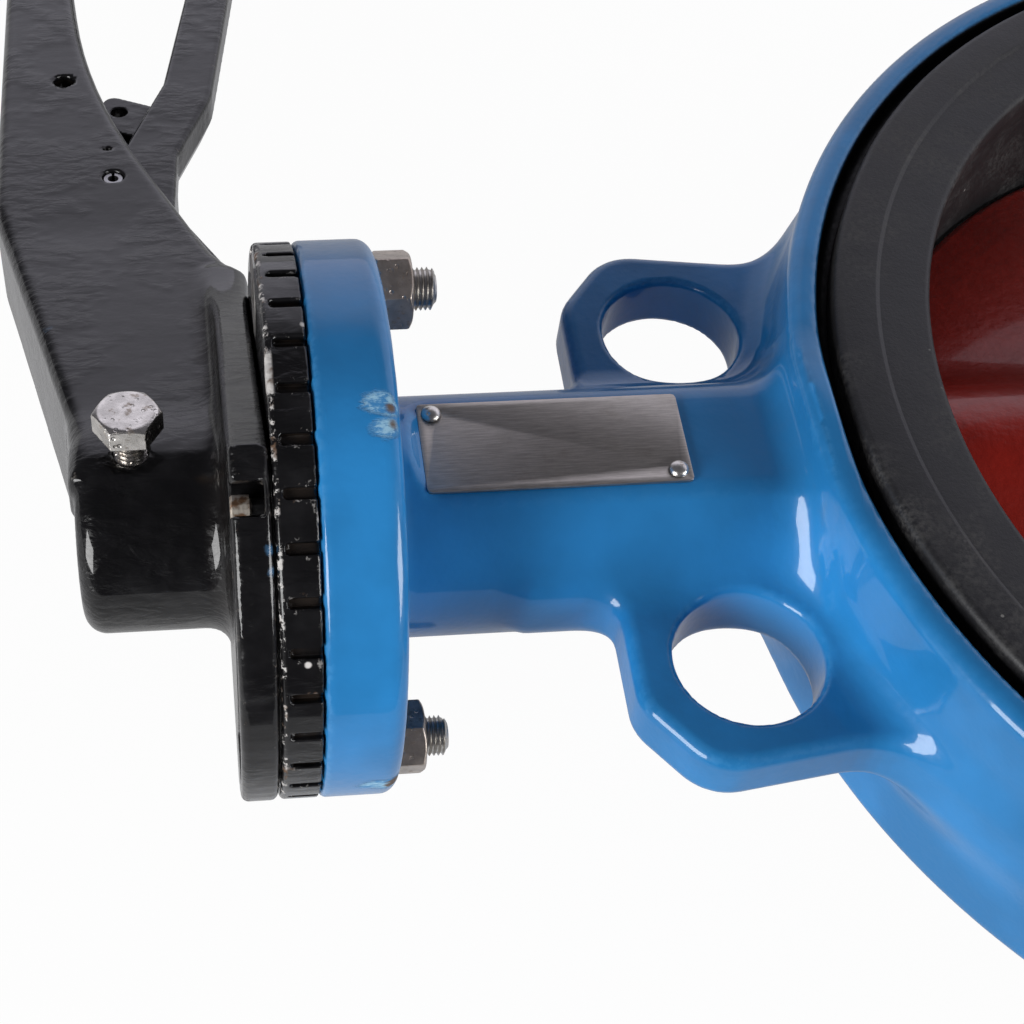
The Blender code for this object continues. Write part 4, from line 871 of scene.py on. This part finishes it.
def blue_paint(colours):
    """Sprayed gloss epoxy over a casting, with slight orange peel, dust and knocked edges, and painted light:
    a highlight on convex edges, shade with the dust in hollows and a shadow inside the liner seat.
    """
    blue = tuple(colours.paint_blue)
    paint = Finish("blue_paint_finish", blue, 0.3, coat=0.6, coat_roughness=0.05)
    paint.set(specular_ior_level=0.15)
    edge = paint.attribute("edge")
    cloud, grain = paint.noise(0.035, 4), paint.noise(0.0022, 3, 0.6)
    tone = paint.mix(cloud.step(0.35, 0.7), [c * 0.82 for c in blue], [c * 1.12 for c in blue])
    # Painted highlight: convex edges turn a lighter blue, broken by grain.
    tone = paint.mix((edge.step(0.25, 0.9) * grain.step(0.42, 0.6)) * 0.25, tone,
                     (blue[0] * 3.0 + 0.03, blue[1] * 1.5 + 0.03, blue[2] * 1.25 + 0.03))
    # Dust and painted shade: hollows turn a darker grey-blue, broken by noise, and rougher.
    dust = (edge.step(-0.1, -0.55) * paint.noise(0.006, 4).step(0.4, 0.75)) * 0.35
    tone = paint.mix(dust, tone, (0.10, 0.13, 0.17))
    ragged = paint.noise(0.0030, 6, 0.8, stretch=(2.6, 1, 1))
    rim, metal = 0.0, 0.0
    for centre, radius, bare in CHIPS:
        rim = paint.spot(centre, radius, ragged, long=1.6).most(rim)
        metal = paint.spot(centre, radius * bare, ragged).most(metal) if bare else metal
    torn = ragged.step(0.44, 0.56)
    tone = paint.mix(rim, tone, paint.mix(torn, (0.05, 0.22, 0.47), (0.30, 0.52, 0.68)))
    tone = paint.mix(metal, tone, (0.13, 0.095, 0.075))
    peel = paint.bump(paint.noise(0.0016, 2, 0.4), 0.00005)
    sand = paint.bump(paint.noise(0.009, 3, 0.5), 0.00022, peel)
    sunk = paint.bump(1 - rim, 0.00018, sand)
    # Painted shadow: inside the liner seat's radius the body is near black and loses its coat, standing in
    # for the shade in the gap between ring and liner.
    x, y, _ = paint.axes()
    seat = x.sum("SQRT", x * x + y * y).step(LIP_SEAT_R + 0.0011, LIP_SEAT_R + 0.0003)
    tone = paint.mix(seat, tone, (0.004, 0.004, 0.005))
    paint.set(base_color=tone, normal=sunk, coat_weight=(1 - rim.most(seat)) * 0.6,
              roughness=0.27 + grain * 0.1 + dust * 0.4 + rim * 0.25)
    return paint.material


def black_paint(colours, name, flaking=False):
    """Gloss black over rough cast iron; flaking bares specks of primer and metal along edges, and a pale
    patch on the plate's rim is bare metal with a painted glint.
    """
    black = tuple(colours.paint_black)
    paint = Finish(name, black, 0.25, coat=0.62, coat_roughness=0.05)
    paint.set(specular_ior_level=0.1)
    grain, patch = paint.noise(0.0018, 4, 0.6), paint.noise(0.012, 4, 0.6)
    tone = paint.mix(patch.step(0.4, 0.75), black, [c * 2.2 + 0.002 for c in black])
    edge = paint.attribute("edge")
    hollow = edge.step(-0.12, -0.5) * paint.noise(0.008, 4).step(0.3, 0.6)
    tone = paint.mix(hollow * 0.8, tone, (0.016, 0.011, 0.008))
    scrape = paint.noise(0.0026, 5, 0.75)
    if flaking:
        along = paint.axes()[0]
        left = FLANGE_FACE - GAP - NOTCH_PLATE_THICK
        worn = edge.step(0.5, 0.85) * scrape.step(0.53, 0.58) * along.step(left + 0.0013, left + 0.0008)
        worn = worn.most(edge.step(0.6, 0.95) * scrape.step(0.58, 0.64) * 0.35)
        blob = paint.cells(0.0062).step(0.17, 0.11) * paint.noise(0.016, 2).step(0.46, 0.54)
        blob = blob * along.step(left + 0.0042, left + 0.0050)
        # A pale patch on the plate's left rim edge: bare metal and a painted glint.
        bare_and_glint_patch = paint.spot((left + 0.0004, -0.0088, 0.0606), 0.0046, scrape)
        bare_and_glint_patch = bare_and_glint_patch * along.step(left + 0.0016, left + 0.0010)
        bare, tint = worn.most(blob).most(bare_and_glint_patch * 0.85), (0.56, 0.54, 0.52)
    else:
        bare, tint = edge.step(0.5, 0.95) * scrape.step(0.60, 0.66) * 0.4, (0.30, 0.27, 0.24)
    rust = paint.noise(0.005, 3).step(0.5, 0.62)
    tone = paint.mix(bare, tone, paint.mix(rust, tint, (0.12, 0.075, 0.05)))
    overspray = 0.0
    for centre, radius in OVERSPRAY:
        overspray = paint.spot(centre, radius, scrape).most(overspray)
    tone = paint.mix(overspray, tone, (0.05, 0.13, 0.24))
    wave = paint.bump(paint.noise(0.022, 3, 0.5, stretch=(1.4, 1, 1)), 0.0012)
    cluster = paint.noise(0.026, 3, 0.55).step(0.42, 0.60) + 0.12
    streak = paint.noise(0.0030, 3, 0.5, stretch=(2.4, 1, 1), warp=0.4) * cluster
    fine = paint.bump(paint.noise(0.0010, 2, 0.5), 0.00004, paint.bump(streak, 0.0011, wave))
    paint.set(base_color=tone, normal=fine, coat_weight=(1 - bare.most(hollow * 0.6)) * 0.62,
              roughness=0.26 + grain * 0.12 + bare * 0.35 + hollow * 0.25)
    return paint.material


def red_coating(colours):
    """Thick epoxy on the disc, with orange peel and faint scuffs."""
    red = tuple(colours.coating_red)
    coat = Finish("red_coating_finish", red, 0.32, coat=0.3, coat_roughness=0.08)
    coat.set(specular_ior_level=0.2)
    cloud, peel = coat.noise(0.03, 4), coat.noise(0.0028, 3, 0.5)
    tone = coat.mix(cloud.step(0.3, 0.7), [c * 0.78 for c in red], [c * 1.18 for c in red])
    scuff = coat.noise(0.004, 5, 0.7, stretch=(0.4, 3.0, 1.0)).step(0.66, 0.74)
    tone = coat.mix(scuff * 0.25, tone, (0.30, 0.12, 0.09))
    ripple = coat.bump(peel, 0.00026)
    wave = coat.bump(coat.noise(0.011, 2, 0.4), 0.0004, ripple)
    coat.set(base_color=tone, normal=wave, roughness=0.26 + peel * 0.12 + scuff * 0.3)
    return coat.material


def liner_rubber(colours, name="liner_rubber_finish"):
    """Moulded black rubber, dusty, with mould grain and pale specks."""
    dark = tuple(colours.rubber)
    rubber = Finish(name, dark, 0.6)
    dust = rubber.noise(0.02, 5, 0.6).step(0.42, 0.72) * rubber.noise(0.0012, 4, 0.7).step(0.35, 0.7)
    speck = rubber.cells(0.0055).step(0.085, 0.05) * rubber.noise(0.03, 2).step(0.5, 0.62)
    tone = rubber.mix(dust * 0.5, dark, (0.105, 0.102, 0.098))
    tone = rubber.mix(speck * 0.8, tone, (0.45, 0.44, 0.41))
    grain = rubber.bump(rubber.noise(0.0007, 3, 0.6), 0.00006)
    wave = rubber.bump(rubber.noise(0.014, 3), 0.0002, grain)
    rubber.set(base_color=tone, normal=wave, roughness=0.48 + dust * 0.3 + speck * 0.2)
    return rubber.material


def brushed_metal(name, colour, size, stretch, roughness=0.28, stain=(0.5, 0.46, 0.4)):
    """Metal with a grain along the stretched way, and patches of handling stain."""
    metal = Finish(name, colour, roughness, metallic=1.0)
    line = metal.noise(size, 4, 0.7, stretch=stretch)
    patch = metal.noise(0.009, 4, 0.6)
    tone = metal.mix(line.step(0.3, 0.75), [c * 0.8 for c in colour], [min(1, c * 1.15) for c in colour])
    tone = metal.mix(patch.step(0.52, 0.8) * 0.45, tone, [c * s for c, s in zip(colour, stain)])
    metal.set(base_color=tone, normal=metal.bump(line, 0.00003),
              roughness=roughness - 0.06 + line * 0.14 + patch * 0.1)
    return metal.material


def worn_steel(name, colour, roughness, metallic=1.0):
    """Bright fastener steel with small dents, fine scratches and brown handling marks."""
    steel = Finish(name, colour, roughness, metallic=metallic)
    cloud, grain = steel.noise(0.0035, 4, 0.6), steel.noise(0.0006, 4, 0.65)
    mark = steel.cells(0.0019).step(0.30, 0.18) * steel.noise(0.004, 3).step(0.42, 0.56)
    stain = steel.noise(0.0022, 5, 0.7).step(0.55, 0.68)
    tone = steel.mix(cloud.step(0.3, 0.75), [c * 0.72 for c in colour], [min(1, c * 1.12) for c in colour])
    tone = steel.mix(stain * 0.6, tone, [c * s for c, s in zip(colour, (0.45, 0.36, 0.28))])
    dent = steel.bump(1 - mark, 0.00012, steel.bump(grain, 0.00003))
    steel.set(base_color=tone, normal=dent, roughness=roughness + grain * 0.14 + stain * 0.2 - 0.05)
    return steel.material


def bronze():
    """Cast bearing bronze."""
    colour = (0.45, 0.26, 0.11)
    metal = Finish("bronze_finish", colour, 0.35, metallic=1.0)
    grain, patch = metal.noise(0.0008, 4, 0.6), metal.noise(0.004, 5, 0.65)
    tone = metal.mix(patch.step(0.35, 0.75), [c * 0.75 for c in colour], colour)
    metal.set(base_color=tone, normal=metal.bump(grain, 0.00004), roughness=0.35 + grain * 0.15)
    return metal.material


def pin_with_painted_shadow(colours):
    """Rusty bare pin; past its head, deep in the lever's window, it takes the lever's black as a painted
    shadow.
    """
    pin = Finish("stop_pin_finish", (0.30, 0.24, 0.19), 0.45, metallic=0.6)
    grain, patch = pin.noise(0.0008, 5, 0.7), pin.noise(0.0022, 4, 0.6)
    # Painted shadow: past its head the pin takes the black paint's colour and is not metal there, standing in
    # for the window's shadow over it.
    painted = (pin.axes()[0] + (patch - 0.5) * 0.0016).step(-0.2748, -0.2744)
    tone = pin.mix(patch.step(0.4, 0.62), (0.42, 0.38, 0.33), (0.16, 0.09, 0.05))
    tone = pin.mix(painted, tone, tuple(colours.paint_black))
    pin.set(base_color=tone, normal=pin.bump(grain, 0.00012), metallic=(1 - painted) * 0.6,
            roughness=0.5 - painted * 0.2)
    return pin.material


# Settings

def length(name, description, default, low, high):
    return FloatProperty(name=name, description=description, default=default, min=low, max=high,
                         unit="LENGTH")


def colour(name, description, default):
    return FloatVectorProperty(name=name, description=description, default=default, subtype="COLOR",
                               min=0, max=1)


class ValveSizes(bpy.types.PropertyGroup):
    lug_edge: length("Lug edge", "Rounding of the lugs' edges", 0.003, 0.0005, 0.006)
    arm_edge: length("Arm edge", "Rounding of the lever arm's edges", 0.0038, 0.001, 0.006)
    casting_step: length("Casting detail", "Spacing of the body's mesh", 0.00128, 0.0012, 0.005)
    thread_pitch: length("Thread pitch", "Pitch of the plate bolts' threads", 0.00105, 0.0008, 0.002)


class ValveColours(bpy.types.PropertyGroup):
    paint_blue: colour("Body paint", "Blue epoxy of the body", (0.020, 0.198, 0.480))
    paint_black: colour("Lever paint", "Black gloss of lever and plate", (0.0035, 0.0034, 0.0038))
    coating_red: colour("Disc coating", "Red epoxy of the disc", (0.300, 0.0125, 0.0055))
    rubber: colour("Liner rubber", "Rubber of the liner", (0.0095, 0.0095, 0.0112))


class VALVE_OT_camera(bpy.types.Operator):
    """Add the camera that looks down across the lever and neck"""
    bl_idname = "valve.camera"
    bl_label = "Camera"

    def execute(self, context):
        data = bpy.data.cameras.new("camera")
        camera = bpy.data.objects.new("camera", data)
        context.scene.collection.objects.link(camera)
        data.sensor_width, data.lens = SENSOR, LENS
        data.shift_x, data.shift_y = SHIFT
        data.clip_start, data.clip_end = 0.01, 50.0
        right, up = Vector(CAMERA_RIGHT), Vector(CAMERA_UP)
        place = Matrix((right, up, right.cross(up))).transposed().to_4x4()
        place.translation = CAMERA_PLACE
        camera.matrix_world = place
        context.scene.camera = camera
        return {"FINISHED"}


class VALVE_OT_body(bpy.types.Operator):
    """Make the cast body: ring, lugs, neck, actuator flange and foot"""
    bl_idname = "valve.body"
    bl_label = "Body casting"

    def execute(self, context):
        sizes, colours = context.scene.valve_sizes, context.scene.valve_colours
        low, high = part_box("valve_body")
        item = skin("body_casting", lambda p: body_field(p, sizes.lug_edge), low, high,
                    sizes.casting_step, keep=0.5)
        settle(item, "valve", "blue_paint", blue_paint(colours), "valve_body")
        return {"FINISHED"}


class VALVE_OT_liner(bpy.types.Operator):
    """Make the rubber liner with its rounded lips"""
    bl_idname = "valve.liner"
    bl_label = "Liner"

    def execute(self, context):
        lip_top = RING_HALF - LIP_SEAT_DEPTH + GAP
        half = [(LINER_BORE_R, LINER_HALF * 0.55, 0.004), (LIP_BORE_R, LINER_HALF - 0.0055, 0.004),
                (LIP_BORE_R, LINER_HALF - LIP_STEP, 0.0016),
                (LIP_BEAD_R - 0.0010, LINER_HALF - LIP_STEP, 0.0004), (LIP_BEAD_R, LINER_HALF, 0.0006),
                (LIP_R, LINER_HALF, 0.0018), (LIP_R, lip_top, 0.0005), (RING_BORE_R - GAP, lip_top, 0.0005)]
        profile = rounded(half + [(r, -z, edge) for r, z, edge in reversed(half)], 5)
        item = lathe("liner_rubber", profile, 240, "Z")
        hole_r = SHAFT_R + GAP
        cut(item, lathe("stem_hole", [(0, -RING_R), (hole_r, -RING_R), (hole_r, RING_R), (0, RING_R)], 64))
        shaded(item.data, 40)
        settle(item, "valve", "liner_rubber", liner_rubber(context.scene.valve_colours), "liner")
        return {"FINISHED"}


class VALVE_OT_disc(bpy.types.Operator):
    """Make the coated disc with its hub"""
    bl_idname = "valve.disc"
    bl_label = "Disc"

    def execute(self, context):
        side = DISC_R + 0.001
        item = skin("disc_coated", disc_field, (-side, -side, -HUB_R - 0.001),
                    (side, side, HUB_R + 0.001), 0.0016, OPENING)
        settle(item, "turning_set", "red_coating", red_coating(context.scene.valve_colours), "disc")
        return {"FINISHED"}


class VALVE_OT_lever(bpy.types.Operator):
    """Make the cast hand lever with its base, boss, arm and trigger channel"""
    bl_idname = "valve.lever"
    bl_label = "Hand lever"

    def execute(self, context):
        sizes, colours = context.scene.valve_sizes, context.scene.valve_colours
        item = skin("lever_casting", lambda p: lever_field(p, sizes.arm_edge),
                    (ARM_OUTER, -BASE_R, -BASE_R), (LEVER_FACE, ARM_END, BASE_R), 0.0011, OPENING)
        settle(item, "turning_set", "black_paint", black_paint(colours, "lever_paint_finish"),
               "hand_lever")
        return {"FINISHED"}


class VALVE_OT_trigger(bpy.types.Operator):
    """Make the trigger lever with its tooth and locking tab"""
    bl_idname = "valve.trigger"
    bl_label = "Trigger"

    def execute(self, context):
        colours = context.scene.valve_colours
        item = skin("trigger_casting", trigger_field, (-0.311, TOOTH_TIP, -TRIGGER_HALF),
                    (GRIP_OUTER, TRIGGER_END, TRIGGER_HALF), 0.0007, OPENING)
        settle(item, "trigger", "black_paint", black_paint(colours, "trigger_paint_finish"),
               "trigger_lever")
        return {"FINISHED"}


class VALVE_OT_notch_plate(bpy.types.Operator):
    """Make the round plate whose rim is notched every ten degrees"""
    bl_idname = "valve.notch_plate"
    bl_label = "Notch plate"

    def execute(self, context):
        right, side = FLANGE_FACE - GAP, NOTCH_PLATE_R
        item = skin("notch_plate_painted", notch_plate_field, (right - NOTCH_PLATE_THICK, -side, -side),
                    (right, side, side), 0.0007)
        colours = context.scene.valve_colours
        settle(item, "valve", "black_paint", black_paint(colours, "plate_paint_finish", True), "notch_plate")
        return {"FINISHED"}


class VALVE_OT_plate_bolts(bpy.types.Operator):
    """Make the two countersunk bolts that hold the plate to the flange"""
    bl_idname = "valve.plate_bolts"
    bl_label = "Plate bolts"

    def execute(self, context):
        sizes = context.scene.valve_sizes
        left, cone, core = FLANGE_FACE - GAP - NOTCH_PLATE_THICK, BOLT_HEAD_R - BOLT_R, THREAD_R - 0.0006
        blank = lathe("plate_bolts", [
            (0, left), (BOLT_HEAD_R - 0.0003, left), (BOLT_HEAD_R, left + 0.0003),
            (BOLT_HEAD_R, left + 0.0006), (BOLT_R, left + 0.0006 + cone), (BOLT_R, BOLT_THREAD - 0.0016),
            (core, BOLT_THREAD - 0.0010), (core, BOLT_END - 0.0012), (core - 0.0011, BOLT_END),
            (0, BOLT_END)], 40)
        socket_r = SOCKET_FLATS / ROOT_3
        cut(blank, lathe("socket", [(0, left - 0.001), (socket_r, left - 0.001),
                                    (socket_r, left + SOCKET_DEPTH), (0, left + SOCKET_DEPTH + 0.0012)], 6))
        steel = brushed_metal("bolt_steel_finish", (0.56, 0.54, 0.51), 0.0009, (1, 1, 1), 0.26)
        item = in_a_row(blank, steel, 2, (0.0, *BOLT_FIRST), (0.0, *BOLT_ON),
                        thread=(BOLT_THREAD, BOLT_END - 0.0008 - BOLT_THREAD, sizes.thread_pitch, THREAD_R))
        settle(item, "valve", "stainless", steel, "upper_plate_bolt", "lower_plate_bolt")
        return {"FINISHED"}


class VALVE_OT_plate_nuts(bpy.types.Operator):
    """Make the two hexagon nuts on the plate bolts"""
    bl_idname = "valve.plate_nuts"
    bl_label = "Plate nuts"

    def execute(self, context):
        def nut_field(p):
            bore = np.hypot(p[:, 1], p[:, 2]) - THREAD_R - 0.0001
            return without(hexagon_field(p, NUT_FLATS, NUT_THICK, True, True), bore, 0.0003)

        reach = NUT_FLATS * 0.58
        blank = skin("plate_nuts", nut_field, (0, -reach, -reach), (NUT_THICK, reach, reach), 0.00035)
        first, last = (math.radians(turn - 30) for turn in NUT_TURNS)
        steel = worn_steel("nut_steel_finish", (0.52, 0.45, 0.39), 0.3, 0.82)
        item = in_a_row(blank, steel, 2, (NUT_SEAT, *BOLT_FIRST), (0.0, *BOLT_ON),
                        (first, 0.0, 0.0), (last - first, 0.0, 0.0))
        settle(item, "valve", "stainless", steel, "upper_plate_nut", "lower_plate_nut")
        return {"FINISHED"}


class VALVE_OT_clamp_bolt(bpy.types.Operator):
    """Make the hexagon bolt that clamps the boss to the stem"""
    bl_idname = "valve.clamp_bolt"
    bl_label = "Clamp bolt"

    def execute(self, context):
        reach, core = CLAMP_FLATS * 0.58, CLAMP_R - 0.0006
        head = skin("clamp_head", lambda p: hexagon_field(p, CLAMP_FLATS, CLAMP_HEAD, False, True),
                    (0, -reach, -reach), (CLAMP_HEAD, reach, reach), 0.0003)
        shank = lathe("clamp_shank", [(0, -CLAMP_LENGTH), (core - 0.0008, -CLAMP_LENGTH),
                                      (core, -CLAMP_LENGTH + 0.0008), (core, 0.0004), (0, 0.0004)], 40)
        blank = joined("clamp_bolt_bright", head, shank)
        steel = worn_steel("clamp_steel_finish", (0.74, 0.71, 0.67), 0.24)
        seat = SQUARE / 2 + GAP + CLAMP_LENGTH
        item = in_a_row(blank, steel, 1, (CLAMP_X, 0.0, seat), turn=(0.0, -math.pi / 2, 0.0),
                        thread=(-CLAMP_LENGTH + 0.0006, CLAMP_LENGTH - 0.001, 0.00115, CLAMP_R))
        places = turned_to_world(points_of(item.data), OPENING)
        item.data.vertices.foreach_set("co", places.ravel().astype(np.float32))
        settle(item, "turning_set", "stainless", steel, "clamp_bolt")
        return {"FINISHED"}


class VALVE_OT_nameplate(bpy.types.Operator):
    """Make the bare nameplate and its two domed rivets"""
    bl_idname = "valve.nameplate"
    bl_label = "Nameplate and rivets"

    def execute(self, context):
        plate = brushed_metal("nameplate_finish", (0.47, 0.44, 0.41), 0.0004, (14, 1, 1), 0.34)
        settle(eased_copy("nameplate_bare", "nameplate", 0.0002), "valve", "stainless", plate, "nameplate")
        dome = [polar(RIVET_HEAD_R, turn) for turn in range(0, 91, 15)]
        blank = lathe("nameplate_rivets", [(0, -RIVET_DEPTH), (RIVET_R, -RIVET_DEPTH), (RIVET_R, 0)]
                      + [(r, rise * RIVET_HEAD_HEIGHT / RIVET_HEAD_R) for r, rise in dome], 32)
        steel = worn_steel("rivet_steel_finish", (0.70, 0.68, 0.65), 0.28)
        item = in_a_row(blank, steel, 2, (*RIVET_PLACE, RIVET_SEAT), (*RIVET_STEP, 0.0),
                        turn=(0.0, -math.pi / 2, 0.0))
        settle(item, "valve", "stainless", steel, "nameplate_rivet_outer", "nameplate_rivet_inner")
        return {"FINISHED"}


class VALVE_OT_inner_parts(bpy.types.Operator):
    """Give the stem, bushes, pins, seals and spring their finishes"""
    bl_idname = "valve.inner_parts"
    bl_label = "Inner parts"

    def execute(self, context):
        turned = brushed_metal("turned_steel_finish", (0.55, 0.54, 0.52), 0.0005, (0.3, 4, 4), 0.24)
        bush = bronze()
        spring = brushed_metal("spring_steel_finish", (0.42, 0.42, 0.43), 0.0004, (1, 1, 1), 0.3)
        pin = pin_with_painted_shadow(context.scene.valve_colours)
        seal = liner_rubber(context.scene.valve_colours, "seal_rubber_finish")
        finishes = {
            "stem": turned, "stub_shaft": turned, "foot_plug": turned,
            "upper_taper_pin_inner": turned, "upper_taper_pin_outer": turned, "lower_taper_pin": turned,
            "upper_bush": bush, "middle_bush": bush, "lower_bush": bush,
            "stem_o_ring_inner": seal, "stem_o_ring_outer": seal, "stem_circlip": spring,
            "pivot_pin": spring, "trigger_spring": spring, "stop_pin": pin,
        }
        for node, material in finishes.items():
            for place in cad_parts[node].material_slots:
                place.material = material
        return {"FINISHED"}


class VALVE_OT_stage(bpy.types.Operator):
    """Add the white floor, the soft lights and the world"""
    bl_idname = "valve.stage"
    bl_label = "Stage and lights"

    def execute(self, context):
        side, depth = FLOOR_SIDE, CAD_BOX[0].z - FLOOR_DROP
        corners = [(-side, FLOOR_EDGE, depth), (side, FLOOR_EDGE, depth), (side, side, depth),
                   (-side, side, depth)]
        floor = piece("floor", mesh_from("floor", corners, [(0, 1, 2, 3)]))
        floor.data.materials.append(floor_white())

        world = bpy.data.worlds.new("studio")
        context.scene.world = world
        world.use_nodes = True
        around = Studio(world.node_tree)
        across, ahead, up = around.direction()
        backdrop = (across * 0.5 + ahead * 0.866).step(0.3, 0.75) * up.step(0.80, 0.56)
        seen, mirrored = around.rays()
        gloss, soft = mirrored * (0.1 + backdrop * 0.9), (1 - mirrored) * (0.12 + backdrop * 0.7)
        level = seen + (1 - seen) * (gloss + soft)
        background = world.node_tree.nodes["Background"]
        around.feed(background.inputs["Color"], around.mix(seen, (0.97, 0.955, 1.08), (1, 1, 1)))
        around.feed(background.inputs["Strength"], level)

        for name, turn, rise, size, power in LAMPS:
            data = bpy.data.lights.new(name, "AREA")
            data.shape, data.size, data.size_y, data.energy = "RECTANGLE", *size, power
            lamp = bpy.data.objects.new(name, data)
            context.scene.collection.objects.link(lamp)
            flat, height = polar(LAMP_FAR, rise)
            away = Vector((*reversed(polar(flat, turn)), height))
            lamp.location = LAMP_MIDDLE + away
            lamp.rotation_euler = (-away).to_track_quat("-Z", "Y").to_euler()
            lamp.visible_camera = False
        context.scene.view_settings.view_transform = "Standard"
        return {"FINISHED"}


OPERATORS = (VALVE_OT_camera, VALVE_OT_body, VALVE_OT_liner, VALVE_OT_disc, VALVE_OT_lever,
             VALVE_OT_trigger, VALVE_OT_notch_plate, VALVE_OT_plate_bolts, VALVE_OT_plate_nuts,
             VALVE_OT_clamp_bolt, VALVE_OT_nameplate, VALVE_OT_inner_parts, VALVE_OT_stage)


class VALVE_PT_panel(bpy.types.Panel):
    """Sizes, colours and steps of the valve"""
    bl_label = "Butterfly valve"
    bl_idname = "VALVE_PT_panel"
    bl_space_type = "VIEW_3D"
    bl_region_type = "UI"
    bl_category = "Valve"

    def draw(self, context):
        for group in (context.scene.valve_sizes, context.scene.valve_colours):
            box = self.layout.box()
            for name in group.bl_rna.properties.keys():
                if name not in {"rna_type", "name"}:
                    box.prop(group, name)
        for operator in OPERATORS:
            self.layout.operator(operator.bl_idname)


CLASSES = (ValveSizes, ValveColours, *OPERATORS, VALVE_PT_panel)


def register():
    for item in CLASSES:
        bpy.utils.register_class(item)
    bpy.types.Scene.valve_sizes = PointerProperty(type=ValveSizes)
    bpy.types.Scene.valve_colours = PointerProperty(type=ValveColours)


def unregister():
    del bpy.types.Scene.valve_colours
    del bpy.types.Scene.valve_sizes
    for item in reversed(CLASSES):
        bpy.utils.unregister_class(item)


def main():
    register()
    for operator in OPERATORS:
        group, name = operator.bl_idname.split(".")
        getattr(getattr(bpy.ops, group), name)()


if __name__ == "__main__":
    main()
